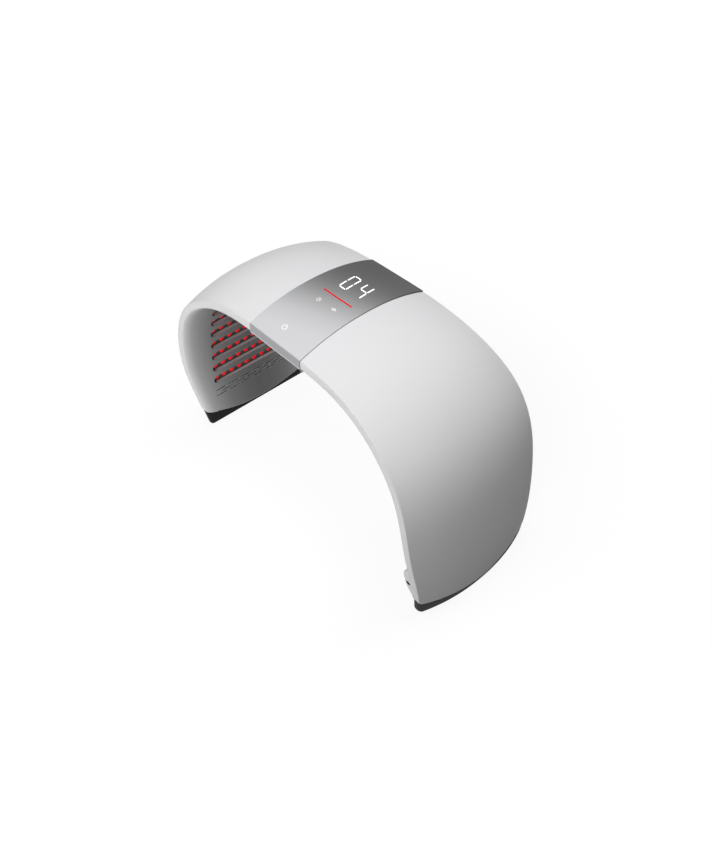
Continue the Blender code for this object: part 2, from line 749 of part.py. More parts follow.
def foot_block(side):
    """foot under the shell, from its lower edge to below the floor"""
    corner = [FOOT_INSET + share * FOOT_CORNER for share in FOOT_CORNER_SHARES]
    columns = [("front", d) for d in corner]
    columns += inner_columns(NEAR_COLUMN_SHARE * ROLL_DEPTH_LEG, DEPTH_COLUMNS)
    columns += [("back", d) for d in reversed(corner)]
    ends = [tongue_arc(column_y(ARC_END, column), -GAP) for column in columns]
    rows = [[side * arc for arc in ends], [side * ARC_END] * len(columns)]

    def draw_in(arc, y):
        return rounded(edge_distance(arc, y) - FOOT_INSET, FOOT_CORNER)
    mesh = bmesh.new()
    verts = unit_slab(mesh, 1, len(columns) - 1)
    sole = [vert for vert in verts if vert.co.x > 1 / 2]
    bend(verts, rows, columns, lambda arc, y: draw_in(arc, y) - swell(arc, y),
         lambda arc, y: INNER_OFFSET - draw_in(arc, y))
    for vert in sole:
        vert.co.z = 0
    return mesh


def foot_screw_points(side):
    """x, y and the shell's lower edge height at each foot screw"""
    points = []
    for share in FOOT_SCREW_PLACES_SHARE:
        y = column_y(ARC_END, ("share", share))
        x = place(side * ARC_END, (INNER_OFFSET - swell(ARC_END, y)) / 2, y).x
        points.append((x, y, tongue_height(y)))
    return points


def foot_screw_holes(side):
    """clearance holes in the foot and the shell"""
    mesh = bmesh.new()
    for x, y, height in foot_screw_points(side):
        add_cylinder(mesh, Matrix.Translation((x, y, 0)), FOOT_SCREW_RADIUS + GAP, -OVERRUN,
                     height + FOOT_SCREW_GRIP + GAP, 10)
    return mesh


def foot_head_recesses(side):
    mesh = bmesh.new()
    for x, y, _ in foot_screw_points(side):
        add_cylinder(mesh, Matrix.Translation((x, y, 0)), FOOT_HEAD_RADIUS + GAP, -OVERRUN,
                     FOOT_HEAD_RECESS, 12)
    return mesh


def foot_screw_profile(height):
    """pan head screw up through the foot into the shell"""
    top, seat = height + FOOT_SCREW_GRIP, FOOT_HEAD_RECESS - GAP
    return ((0, top), (FOOT_SCREW_RADIUS, top), (FOOT_SCREW_RADIUS, seat), (FOOT_HEAD_RADIUS, seat),
            (FOOT_HEAD_RADIUS, seat - FOOT_HEAD_HEIGHT), (0, seat - FOOT_HEAD_HEIGHT))


# Power inlet

def boss_height(arc):
    """how far the inlet's bump stands out of the inner surface"""
    share = blend(BOSS_START, BOSS_PEAK, arc) * (1 - blend(BOSS_FALL, BOSS_END, arc))
    return (BOSS_HEIGHT + BOSS_DIP) * share - BOSS_DIP


def boss_shape():
    """bump on the right wing's inner front rim that holds the power inlet"""
    corner = [share * BOSS_ROUND for share in BOSS_ROUND_SHARES]
    insets = corner + [BOSS_DEPTH - d for d in reversed(corner)]
    columns = [("front", BOSS_SET_BACK + d) for d in insets]
    arcs = np.linspace(BOSS_START, BOSS_END, 13)
    rows = [[arc] * len(columns) for arc in arcs[1:-1]]

    def top(arc, y):
        distance = y - front_y(arc) - BOSS_SET_BACK
        edge = min(distance, BOSS_DEPTH - distance)
        height = boss_height(arc)
        return INNER_OFFSET + height - rounded(edge, BOSS_ROUND) * height / BOSS_HEIGHT
    return slab(rows, columns, lambda arc, y: rim_offset(arc, y) - BOSS_SINK, top)


def socket_frame():
    """frame at the mouth of the power inlet, Y inward along its axis"""
    y = front_y(SOCKET_ARC) + BOSS_SET_BACK
    return frame_at(SOCKET_ARC, y) @ Matrix.Translation((0, 0, -SOCKET_OFFSET))


def socket_bore():
    mesh = bmesh.new()
    add_cylinder(mesh, socket_frame() @ ALONG_Y, SOCKET_RADIUS + GAP, -OVERRUN,
                 SOCKET_LENGTH + SOCKET_END, 20)
    return mesh


def socket_profile():
    """round inlet with a centre pin, its mouth at the bottom"""
    return ((0, SOCKET_LENGTH), (SOCKET_RADIUS, SOCKET_LENGTH), (SOCKET_RADIUS, GAP), (SOCKET_HOLE, GAP),
            (SOCKET_HOLE, SOCKET_DEPTH), (SOCKET_PIN, SOCKET_DEPTH), (SOCKET_PIN, PIN_SET_BACK),
            (0, PIN_SET_BACK))


def driver_board():
    columns = [("fixed", y) for y in DRIVER_Y]
    rows = even_rows(DRIVER_ARC[0], DRIVER_ARC[1], 3, columns)
    face = DRIVER_OFFSET + DRIVER_THICKNESS
    return slab(rows, columns, lambda arc, y: DRIVER_OFFSET, lambda arc, y: face)


def driver_posts():
    arc = sum(DRIVER_ARC) / 2
    return [(arc, DRIVER_Y[0] + DRIVER_POST_INSET), (arc, DRIVER_Y[1] - DRIVER_POST_INSET)]


# Pieces of the display module

def cover_outer(arc, y):
    """offset of the module's top surface with its small edge bevel"""
    return max(0.0, EDGE_BREAK - edge_distance(arc, y) - PROUD_FRONT) - swell(arc, y) - PROUD


def cover_inner(arc, y):
    return SKIN - swell(arc, y) - PROUD


def module_columns(margin):
    near = [("front", margin), ("front", margin + EDGE_BREAK)]
    far = [("back", margin + EDGE_BREAK), ("back", margin)]
    return near + inner_columns(NEAR_COLUMN_SHARE * ROLL_DEPTH_LEG, DEPTH_COLUMNS) + far


def module_shape(margin, inset, outer, inner):
    columns = module_columns(margin)
    half = MODULE_HALF - GAP - inset
    return slab(even_rows(-half, half, MODULE_STATIONS, columns), columns, outer, inner)


def cover_block():
    level = INNER_OFFSET - BASE_THICKNESS - GAP
    return module_shape(-PROUD_FRONT, 0.0, cover_outer, lambda arc, y: level)


def cover_cavity():
    return module_shape(SKIN - PROUD_FRONT, SKIN, cover_inner, lambda arc, y: INNER_OFFSET)


def base_plate():
    columns = [("front", -PROUD_FRONT), ("back", -PROUD_FRONT)]
    half = MODULE_HALF - GAP
    return slab(even_rows(-half, half, MODULE_STATIONS, columns), columns,
                lambda arc, y: INNER_OFFSET - BASE_THICKNESS, lambda arc, y: INNER_OFFSET)


def module_led_rows():
    return [(k * ROW_PITCH, led_count(0)) for k in MODULE_ROWS]


def cover_ribs():
    """walls inside the cover that take the hinge screws"""
    mesh = bmesh.new()
    low = INNER_OFFSET - BASE_THICKNESS - GAP
    centre = MODULE_HALF - SCREW_OUT

    def root(arc, y):
        return cover_outer(arc, y) + SKIN / 2
    for side in (-1, 1):
        for start in hinge_starts().values():
            columns = [("fixed", start + GAP), ("fixed", start + HINGE_LENGTH - GAP)]
            rows = [[side * arc] * 2 for arc in row_lines(centre, RIB_HALF)]
            slab(rows, columns, root, lambda arc, y: low, mesh)
    return mesh


def control_posts():
    x = CONTROL_HALF - CONTROL_POST_INSET
    ys = (CONTROL_Y[0] + CONTROL_POST_INSET, CONTROL_Y[1] - POST_RADIUS)
    return [(side * x, y) for side in (-1, 1) for y in ys]


def board_posts():
    """posts on the base, between the slots, that carry the module's LED board"""
    ys = (LED_FRONT_Y + LED_PITCH, LED_FRONT_Y + (led_count(0) - 2) * LED_PITCH)
    return [(x, y) for x in (-ROW_PITCH / 2, ROW_PITCH / 2) for y in ys]


def flat_board(half, y_range, offset, thickness):
    columns = [("fixed", y) for y in y_range]
    rows = even_rows(-half, half, 2, columns)
    return slab(rows, columns, lambda arc, y: offset, lambda arc, y: offset + thickness)


def touch_sheet():
    """thin key board that follows the cover's inner face"""
    steps = 4
    depths = [TOUCH_Y[0] + (TOUCH_Y[1] - TOUCH_Y[0]) * i / steps for i in range(steps + 1)]
    columns = [("fixed", y) for y in depths]
    rows = even_rows(-TOUCH_HALF, TOUCH_HALF, 2, columns)
    return slab(rows, columns, lambda arc, y: cover_inner(arc, y) + TOUCH_CLEARANCE,
                lambda arc, y: cover_inner(arc, y) + TOUCH_CLEARANCE + TOUCH_THICKNESS)


def segment_bars(x0, lit, grow):
    """outlines of a digit's lit bars, each wider by a grow all round"""
    half_height = DIGIT_HEIGHT / 2
    corners = {"low": 0.0, "mid": half_height, "top": DIGIT_HEIGHT}
    ends = {"a": ((0, "top"), (1, "top")), "b": ((1, "mid"), (1, "top")), "c": ((1, "low"), (1, "mid")),
            "d": ((0, "low"), (1, "low")), "e": ((0, "low"), (0, "mid")), "f": ((0, "mid"), (0, "top")),
            "g": ((0, "mid"), (1, "mid"))}
    stroke = DIGIT_STROKE / 2 + grow
    bars = []
    for name in lit:
        start, end = [Vector((k * DIGIT_WIDTH, corners[level])) for k, level in ends[name]]
        along = (end - start).normalized()
        across = Vector((-along.y, along.x))
        trim = DIGIT_STROKE / 2 + DIGIT_JOIN
        start, end = start + along * (trim - grow), end - along * (trim - grow)
        nib = along * stroke / 2
        outline = (start, start + nib + across * stroke, end - nib + across * stroke,
                   end, end - nib - across * stroke, start + nib - across * stroke)
        bars.append([(x0 + p.x + p.y * DIGIT_LEAN_SHARE, DIGIT_Y + p.y) for p in outline])
    return bars


def digit_bars(grow):
    return segment_bars(DIGIT_X[0], "abcdef", grow) + segment_bars(DIGIT_X[1], "bcfg", grow)


def bar_outline(grow):
    half = BAR_WIDTH / 2 + grow
    return box_outline(BAR_X[0] - grow, BAR_X[1] + grow, BAR_Y - half, BAR_Y + half)


def window_cutters():
    """openings in the cover for the digits and the light bar"""
    outlines = digit_bars(GAP) + [bar_outline(GAP)]
    return surface_prism(outlines, lambda arc, y: cover_inner(arc, y) + OVERRUN,
                         lambda arc, y: cover_outer(arc, y) - OVERRUN)


def case_limits():
    """arc and depth limits of the display's box"""
    left = DIGIT_X[0] + DIGIT_LEAN_SHARE * DIGIT_HEIGHT - DIGIT_CASE_MARGIN
    right = DIGIT_X[1] + DIGIT_WIDTH + DIGIT_CASE_MARGIN
    return (left, right), (DIGIT_Y - DIGIT_CASE_MARGIN, DIGIT_Y + DIGIT_HEIGHT + DIGIT_CASE_MARGIN)


def display_levels():
    """offsets of the display's flat top and of its seat on the control board"""
    arcs, ys = case_limits()
    top = max(cover_inner(arc, y) for arc in arcs for y in ys) + DISPLAY_CLEARANCE
    return top, top + DISPLAY_HEIGHT


def display_case():
    """box of the two-digit display"""
    arcs, ys = case_limits()
    top, seat = display_levels()
    rows, columns = [[arc] * 2 for arc in arcs], [("fixed", y) for y in ys]
    return slab(rows, columns, lambda arc, y: top, lambda arc, y: seat - GAP)


def display_light():
    """lit bars that stand from the display up to the cover's surface"""
    top, _ = display_levels()
    return surface_prism(digit_bars(0.0), lambda arc, y: top + GAP, cover_outer)


def flange_top(arc, y):
    return cover_inner(arc, y) + GAP


def light_bar():
    """flange of the thin lit bar, under the cover"""
    return surface_prism([bar_outline(BAR_FLANGE)],
                         lambda arc, y: flange_top(arc, y) + FLANGE_THICKNESS, flange_top)


def light_bar_ridge():
    """lit bar itself, from inside its flange up to the cover's surface"""
    return surface_prism([bar_outline(0.0)],
                         lambda arc, y: flange_top(arc, y) + FLANGE_THICKNESS / 2, cover_outer)


def buzzer_body():
    """round buzzer on top of the control board"""
    mesh = bmesh.new()
    _, seat = display_levels()
    top = -seat + GAP
    add_cylinder(mesh, frame_at(*BUZZER_PLACE), BUZZER_RADIUS, top, top + BUZZER_HEIGHT, 16)
    return mesh


# Hinges

def hinge_pockets(sides):
    """recess for the leaves and the barrel of each hinge"""
    mesh = bmesh.new()
    reach = LEAF_REACH + GAP
    for side in sides:
        for start in hinge_starts().values():
            add_box(mesh, hinge_frame(side, start), (-reach, reach), (-GAP, HINGE_LENGTH + GAP),
                    (-BARREL_RADIUS, BARREL_RADIUS + GAP))
    return mesh


def screw_frame(side, start, y, wing):
    """frame on a hinge screw's axis"""
    return hinge_frame(side, start) @ Matrix.Translation((SCREW_OUT if wing else -SCREW_OUT, y, 0))


def screw_cutters(sides, wing):
    mesh = bmesh.new()
    for side in sides:
        for start in hinge_starts().values():
            for y in screw_places():
                add_cylinder(mesh, screw_frame(side, start, y, wing), SCREW_RADIUS + GAP, 0,
                             leaf_levels()[0] + SCREW_LENGTH + GAP, 8)
    return mesh


def leaf_plate(side, start, wing):
    """flat plate of a hinge leaf"""
    mesh = bmesh.new()
    reach = (BARREL_RADIUS + GAP, LEAF_REACH) if wing else (-LEAF_REACH, -BARREL_RADIUS - GAP)
    add_box(mesh, hinge_frame(side, start), reach, (0, HINGE_LENGTH), leaf_levels())
    return mesh


def leaf_knuckles(side, start, wing):
    mesh = bmesh.new()
    for y0, y1 in knuckle_spans(wing):
        add_cylinder(mesh, hinge_frame(side, start) @ ALONG_Y, BARREL_RADIUS, y0, y1, 12)
    return mesh


def leaf_necks(side, start, wing):
    """strips that join the knuckles to the plate"""
    mesh = bmesh.new()
    low, high = leaf_levels()
    near, far = PIN_RADIUS + GAP, BARREL_RADIUS + GAP + LEAF_THICKNESS
    reach = (near, far) if wing else (-far, -near)
    for y0, y1 in knuckle_spans(wing):
        add_box(mesh, hinge_frame(side, start), reach, (y0 + GAP, y1 - GAP),
                (low + NECK_SINK, high - NECK_SINK))
    return mesh


def leaf_bore(side, start):
    mesh = bmesh.new()
    add_cylinder(mesh, hinge_frame(side, start) @ ALONG_Y, PIN_RADIUS + GAP, -OVERRUN,
                 HINGE_LENGTH + OVERRUN, 8)
    return mesh


def hinge_pin(side, start):
    mesh = bmesh.new()
    add_cylinder(mesh, hinge_frame(side, start) @ ALONG_Y, PIN_RADIUS, 0, HINGE_LENGTH, 8)
    return mesh


def screw_profile():
    """countersunk hinge screw, its head at the bottom"""
    low, high = leaf_levels()
    top = low + SCREW_LENGTH
    return ((0, top), (SCREW_RADIUS, top), (SCREW_RADIUS, high - GAP), (SCREW_HEAD, low + GAP),
            (SCREW_HEAD, low), (0, low))


def countersink_profile():
    """a leaf's screw hole with its countersink"""
    low, high = leaf_levels()
    top, head, shank = high + OVERRUN, SCREW_HEAD + GAP, SCREW_RADIUS + GAP
    return ((0, top), (shank, top), (shank, high - GAP), (head, low + GAP), (head, low - GAP),
            (0, low - GAP))


# Assembly

def pivot(name, side, collection):
    empty = bpy.data.objects.new(name, None)
    empty.location = hinge_frame(side, 0).translation
    collection.objects.link(empty)
    return empty


def carry(item, empty):
    """parent to the hinge's axis without moving the piece"""
    item.parent = empty
    item.matrix_parent_inverse = Matrix.Translation(-empty.location)


class Builder:
    """collections and materials shared by the assembly steps"""

    def __init__(self):
        self.parts = make_collection("led_face_lamp")
        self.cutters = make_collection("cutters")
        self.materials = {
            "shell": make_material("light_grey_plastic", (0.76, 0.76, 0.77), 0.35),
            "panel": make_material("mid_grey_plastic", (0.3, 0.3, 0.31), 0.45),
            "cover": make_material("satin_grey", (0.32, 0.32, 0.33), 0.3, 0.4),
            "base": make_material("pale_grey_trim", (0.45, 0.45, 0.47), 0.4),
            "board": make_material("board_white", (0.55, 0.56, 0.57), 0.5),
            "green": make_material("board_green", (0.02, 0.12, 0.05), 0.4),
            "metal": make_material("aluminium", (0.7, 0.7, 0.71), 0.4, 1.0),
            "steel": make_material("dark_steel", (0.12, 0.12, 0.13), 0.35, 1.0),
            "rubber": make_material("black_rubber", (0.012, 0.012, 0.013), 0.6),
            "black": make_material("black_plastic", (0.02, 0.02, 0.022), 0.4),
            "white": make_material("lit_white", (0.9, 0.9, 0.9), 0.3),
            "red": make_material("lit_red", (0.8, 0.01, 0.02), 0.3),
        }

        self.hinge_screw = profile_mesh("hinge_screw", screw_profile())
        self.countersink = profile_mesh("countersink", countersink_profile())

    def part(self, name, mesh, material):
        return add_object(name, mesh, self.parts, self.materials[material])

    def tool(self, name, mesh):
        return add_object(name, mesh, self.cutters)

    def turned_part(self, name, profile, matrix, steps, material):
        return turned(name, profile, matrix, steps, self.parts, self.materials[material])


def build_leaf(build, side, start, label, wing):
    """one leaf with its knuckles, bore and countersunk holes"""
    leaf = build.part("hinge_leaf_" + label, leaf_plate(side, start, wing), "steel")
    boolean(leaf, build.tool("neck_" + label, leaf_necks(side, start, wing)), "UNION")
    boolean(leaf, build.tool("knuckle_" + label, leaf_knuckles(side, start, wing)), "UNION")
    boolean(leaf, build.tool("bore_" + label, leaf_bore(side, start)))
    for i, y in enumerate(screw_places()):
        name, matrix = "countersink_%s_%d" % (label, i + 1), screw_frame(side, start, y, wing)
        boolean(leaf, turned(name, build.countersink, matrix, 8, build.cutters))
    return leaf


def build_hinge(build, side_name, where, start, empty):
    side = WING_SIDES[side_name]
    for owner in ("module", "wing"):
        wing, label = owner == "wing", "%s_%s_%s" % (owner, side_name, where)
        items = [build_leaf(build, side, start, label, wing)]
        for i, y in enumerate(screw_places()):
            items.append(build.turned_part("hinge_screw_%s_%d" % (label, i + 1), build.hinge_screw,
                                           screw_frame(side, start, y, wing), 8, "steel"))
        if wing:
            for item in items:
                carry(item, empty)
    build.part("hinge_pin_%s_%s" % (side_name, where), hinge_pin(side, start), "steel")


def build_wing_shell(build, side_name):
    side = WING_SIDES[side_name]
    shell = build.part("wing_shell_" + side_name, wing_shell(side), "shell")
    boolean(shell, build.tool("cavity_" + side_name, wing_cavity(side)))
    seat = INNER_OFFSET - PANEL_THICKNESS - GAP
    deep = INNER_OFFSET - FRAME_THICKNESS - OVERRUN
    past = INNER_OFFSET + OVERRUN
    boolean(shell, build.tool("window_" + side_name, wing_window(side, LEDGE, deep, past)))
    boolean(shell, build.tool("seat_" + side_name, wing_window(side, 0.0, seat, past)))
    back, _ = board_offsets()
    tip = back - GAP - SPREADER_THICKNESS - GAP

    def root(arc, y):
        return SKIN / 2 - swell(arc, y)
    stands = posts(post_places(side), root, lambda arc, y: tip)
    boolean(shell, build.tool("posts_" + side_name, stands), "UNION")
    if side_name == "right":
        boolean(shell, build.tool("boss", boss_shape()), "UNION")
        boolean(shell, build.tool("bore", socket_bore()))
        stands = posts(driver_posts(), root, lambda arc, y: DRIVER_OFFSET - GAP)
        boolean(shell, build.tool("driver_posts", stands), "UNION")
    boolean(shell, build.tool("pockets_" + side_name, hinge_pockets([side])))
    boolean(shell, build.tool("screw_holes_" + side_name, screw_cutters([side], True)))
    boolean(shell, build.tool("foot_threads_" + side_name, foot_screw_holes(side)))
    return shell


def build_wing(build, side_name):
    side = WING_SIDES[side_name]
    empty = pivot("hinge_axis_" + side_name, side, build.parts)
    items = [build_wing_shell(build, side_name)]
    panel = build.part("wing_panel_" + side_name, panel_sheet(side), "panel")
    rows = [(side * arc, count) for arc, count in led_rows()]
    boolean(panel, build.tool("slots_" + side_name, slot_cutters(rows)))
    boolean(panel, build.tool("vents_" + side_name, vent_cutters(side)))
    items.append(panel)
    items.append(build.part("led_board_" + side_name, led_board(rows), "board"))
    items.append(build.part("heat_spreader_" + side_name, spreader(rows), "metal"))
    foot = build.part("foot_" + side_name, foot_block(side), "rubber")
    boolean(foot, build.tool("foot_holes_" + side_name, foot_screw_holes(side)))
    boolean(foot, build.tool("foot_recess_" + side_name, foot_head_recesses(side)))
    items.append(foot)
    for i, (x, y, height) in enumerate(foot_screw_points(side)):
        name = "foot_screw_%s_%d" % (side_name, i + 1)
        profile = profile_mesh(name, foot_screw_profile(height))
        items.append(build.turned_part(name, profile, Matrix.Translation((x, y, 0)), 10, "steel"))
    if side_name == "right":
        profile = profile_mesh("power_socket", socket_profile())
        items.append(build.turned_part("power_socket", profile, socket_frame() @ ALONG_Y, 20, "black"))
        items.append(build.part("driver_board", driver_board(), "green"))
    for item in items:
        carry(item, empty)
    for where, start in hinge_starts().items():
        build_hinge(build, side_name, where, start, empty)


def build_module(build):
    sides = tuple(WING_SIDES.values())
    cover = build.part("module_cover", cover_block(), "cover")
    boolean(cover, build.tool("cover_cavity", cover_cavity()))
    boolean(cover, build.tool("cover_ribs", cover_ribs()), "UNION")
    _, control = display_levels()
    stands = posts(control_posts(), lambda arc, y: cover_outer(arc, y) + SKIN / 2,
                   lambda arc, y: control - GAP)
    boolean(cover, build.tool("control_posts", stands), "UNION")
    boolean(cover, build.tool("display_windows", window_cutters()))
    boolean(cover, build.tool("cover_screw_holes", screw_cutters(sides, False)))
    base = build.part("module_base", base_plate(), "base")
    boolean(base, build.tool("base_slots", slot_cutters(module_led_rows())))
    back, _ = board_offsets()
    level = back + BOARD_THICKNESS + GAP
    stands = posts(board_posts(), lambda arc, y: level, lambda arc, y: INNER_OFFSET - BASE_THICKNESS / 2)
    boolean(base, build.tool("board_posts", stands), "UNION")
    boolean(base, build.tool("base_pockets", hinge_pockets(sides)))
    boolean(base, build.tool("base_screw_holes", screw_cutters(sides, False)))
    build.part("module_led_board", led_board(module_led_rows(), MODULE_BOARD_MARGIN), "board")
    build.part("control_board", flat_board(CONTROL_HALF, CONTROL_Y, control, CONTROL_THICKNESS), "green")
    build.part("touch_board", touch_sheet(), "green")
    build.part("buzzer", buzzer_body(), "black")
    display = build.part("digit_display", display_case(), "white")
    boolean(display, build.tool("digit_light", display_light()), "UNION")
    light = build.part("status_light_bar", light_bar(), "red")
    boolean(light, build.tool("bar_ridge", light_bar_ridge()), "UNION")


def main():
    reset_scene()
    build = Builder()
    build_module(build)
    for side_name in WING_SIDES:
        build_wing(build, side_name)


main()
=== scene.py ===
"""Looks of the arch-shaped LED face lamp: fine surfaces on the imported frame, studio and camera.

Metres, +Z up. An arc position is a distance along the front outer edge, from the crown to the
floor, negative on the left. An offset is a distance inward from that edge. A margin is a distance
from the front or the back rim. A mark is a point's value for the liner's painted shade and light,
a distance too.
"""
import math

import bmesh
import bpy
import numpy as np
from mathutils import Matrix, Vector

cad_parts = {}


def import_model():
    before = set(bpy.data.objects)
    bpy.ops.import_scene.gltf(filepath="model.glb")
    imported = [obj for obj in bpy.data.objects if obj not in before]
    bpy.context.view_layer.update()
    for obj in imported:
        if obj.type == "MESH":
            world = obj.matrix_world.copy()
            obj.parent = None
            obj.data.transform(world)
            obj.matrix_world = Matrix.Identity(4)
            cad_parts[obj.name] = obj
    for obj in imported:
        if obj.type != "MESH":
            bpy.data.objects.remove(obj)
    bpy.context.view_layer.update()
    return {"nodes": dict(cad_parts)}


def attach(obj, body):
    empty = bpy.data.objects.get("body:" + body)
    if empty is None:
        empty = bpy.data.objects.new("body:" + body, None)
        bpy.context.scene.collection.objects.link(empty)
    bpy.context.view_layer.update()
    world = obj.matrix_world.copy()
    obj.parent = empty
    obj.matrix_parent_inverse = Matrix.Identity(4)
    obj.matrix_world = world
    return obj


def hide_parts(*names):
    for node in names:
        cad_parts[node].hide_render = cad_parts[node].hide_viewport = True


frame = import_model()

# Camera, solved from the arch's edges in the photograph
IMAGE_LONG_SIDE = 858
FOCAL_PIXELS = 805.93
CAMERA_PLACE = (0.523036, -0.471547, 0.811442)
CAMERA_TARGET = (0.0, -0.00167, 0.093134)
CAMERA_SHIFT = (0.01165, -0.00092)
SENSOR = 36.0  # millimetres

# Overall shape, as in the CAD
HALF_SPAN = 0.2126  # middle plane to the front outer edge where the arch is widest
RISE = 0.2863  # floor to the front outer edge at the crown
FRONT_REACH = 0.0984  # middle plane to the front edge at the crown
BACK_REACH = 0.1041  # middle plane to the back edge at the foot
SWELL = 0.0154  # how far the outer surface bows out across the depth
SWELL_POWER = 2.15
INNER = 0.0112  # offset of the inner surface
TURN_STATIONS = (0.0, 0.234, 0.469, 0.703, 0.937, 1.0)  # shares of the arc
TURN_RATES = (-0.353, 2.666, 3.489, 0.470, 0.932, 0.932)  # how fast the arc turns there
EDGE_STATIONS = (0.0, 0.234, 0.469, 0.703, 0.937)
FRONT_REACHES = (1.0, 1.002, 1.036, 1.005, 0.815)  # shares of FRONT_REACH
BACK_REACHES = (0.733, 0.747, 0.881, 0.956, 1.0)  # shares of BACK_REACH
STEPS = 800
SIDES = {"left": -1, "right": 1}
GAP = 0.0003  # running and seating clearance
SKIN = 0.0022  # wall of the moulded shells
SOLID_RIM = 0.0125  # borders of the skin that aren't hollow
SOLID_SEAM = 0.0030
SOLID_FOOT = 0.0060
SMOOTH_ANGLE = 35.0  # degrees
WELD = 0.000002  # points closer than this are joined
TINY = 1e-9  # positions closer than this are equal
CUT_PAST = 0.003  # how far a cutter passes the surface

# Rim, seam and lower end
EDGE_ROUND = 0.0007
END_ROUND = 0.0006
LINER_ROUND = 0.0005
LINER_TAIL = 0.0015  # how far the liner's lower end turns into the wing
RIM_FACE = (0.0097, 0.0082)  # offset of the rim's inner edge, by the module and lower down
ROLL_DEPTH = (0.0025, 0.016)  # width over which the rim rolls in, likewise
ROLL_GROW = (0.055, 0.200)  # arc positions between which both change
SKIN_MARGINS = (0.0, 0.00008, 0.0002, 0.0004, 0.0007, 0.0014, 0.003, 0.006, 0.010)
END_STEPS = (0.0, 0.00008, 0.0002, 0.0004, 0.0007, 0.0012, 0.0025)
BEHIND_LINER = 0.0012  # from the liner, and from the hinges' recesses, to the skin's hidden back
BEHIND_POCKET = 0.0008
TUCK = 0.001  # depth of the strips along the liner's rims
MODULE_HALF = 0.0410  # arc position of the seam
PROUD = 0.0007  # module's top above the wings
PROUD_FRONT = 0.0008  # module's front and back faces past the wings' rims
COVER_MARGINS = (0.0, 0.00006, 0.00018, 0.00035, 0.0006, 0.0012, 0.003, 0.007, 0.012)
COVER_STEPS = (0.0, 0.00005, 0.00015, 0.0003, 0.0005, 0.001, 0.003)
COVER_RIM_ROUND = 0.0006
COVER_END_ROUND = 0.0005
COVER_ROUND_MOST = 0.0008
BASE_THICKNESS = 0.0020
BASE_ROUND = 0.0003
TONGUE_LOW = 0.0030  # floor to the shell's lowest point
TONGUE_RISE = (0.0205, 0.0145)  # from there up to the front and back corners
TONGUE_POWER = 2.2
OUTER_LOW = 0.0055  # the same on the outer face, over the foot's band
OUTER_POWER = 1.5
CORNER_RADIUS = 0.0050
FOOT_CORNER = 0.0040
FOOT_INSET = 0.0006
FOOT_TOP_ROUND = 0.0006
FOOT_BASE_ROUND = 0.0008
FOOT_LIP_MOST = 0.001

# Slots, LEDs and vents
ROW_LAST = 0.3545  # arc position of the lowest row
ROW_PITCH = 0.0218
ROW_COUNT = 14
SHORT_ROWS = 5  # upper rows, with one LED less
LED_FRONT_Y = -0.0550
LED_PITCH = 0.0129
LED_COUNT = 9
SLOT_WIDTH = 0.0128
SLOT_OVER = 0.0065  # slot's end past the centre of its last LED
SLOT_DEPTH = 0.0050
SLOT_SINK = 0.0001  # slot's walls past the board's face
SLOT_LIP = 0.0005
LED_LEVEL = INNER - SLOT_DEPTH  # offset of the board's face
BOARD_OVER = 0.0085  # board's edge past the centres of its last LEDs
BOARD_FACE = 0.0012
MODULE_BOARD_HALF = 0.0275
LENS_RADIUS = 0.0037
LENS_HEIGHT = 0.0015
FLANGE = 0.0004
VENT_START = 0.3740  # arc position of the first row
VENT_ROW_PITCH = 0.0050
VENT_ROWS = 3
VENT_PITCH = 0.0216
VENT_LENGTH = 0.0178
VENT_WIDTH = 0.0018
VENT_FRONT_Y = -0.0607
VENT_COUNT = 6
VENT_DEPTH = 0.0024
VENT_LIP = 0.0002
LINES_PER_VENT = 8
SPLIT = 0.000005  # keeps points of neighbouring walls apart, so that each keeps its mark
LIT_EDGE = 0.0005  # painted highlight: light strip under a vent's lip
END_SHADE = 0.0035  # painted shade at the front end of a slot's wall
HAIR = 0.00002  # half the width of the recesses' steep sides

# Display
DIGIT_WIDTH = 0.0102
DIGIT_HEIGHT = 0.0266
DIGIT_STROKE = 0.0015
DIGIT_TRIM = 0.0009  # left free at both ends of a segment
DIGIT_LEAN = -0.13
DIGIT_Y = -0.0011
DIGIT_X = (-0.0116, 0.0093)
SEGMENTS = {  # ends in widths and half heights
    "a": ((0, 2), (1, 2)), "b": ((1, 1), (1, 2)), "c": ((1, 0), (1, 1)), "d": ((0, 0), (1, 0)),
    "e": ((0, 0), (0, 1)), "f": ((0, 1), (0, 2)), "g": ((0, 1), (1, 1))}
BAR_X = (-0.0182, 0.0262)
BAR_Y = -0.0171
BAR_WIDTH = 0.0019
POWER_MARK = (-0.0045, -0.0821)
CLOCK_MARK = (-0.0080, -0.0328)
WAVE_MARK = (0.0158, -0.0328)
WAVE_PITCH = 0.0014
WAVE_WIDTH = 0.0006
WAVE_HEIGHTS = (0.0016, 0.0032, 0.0046, 0.0032, 0.0016)
MARK_RINGS = (  # centre, radius, width, angles in degrees
    (POWER_MARK, 0.0028, 0.0007, 125, 415), (CLOCK_MARK, 0.0024, 0.0005, 0, 360))
MARK_STROKES = (  # centre, start and end from there, width
    (POWER_MARK, (0.0, 0.0006), (0.0, 0.0040), 0.0008),
    (CLOCK_MARK, (0.0, -0.0002), (0.0, 0.0017), 0.0005),
    (CLOCK_MARK, (-0.0002, 0.0), (0.0014, 0.0), 0.0005))
STROKE_LIFT = 0.00006
RING_LIFT = 0.00005
RIBBON_SINK = 0.0002  # how far the ribbons' sides reach into the cover

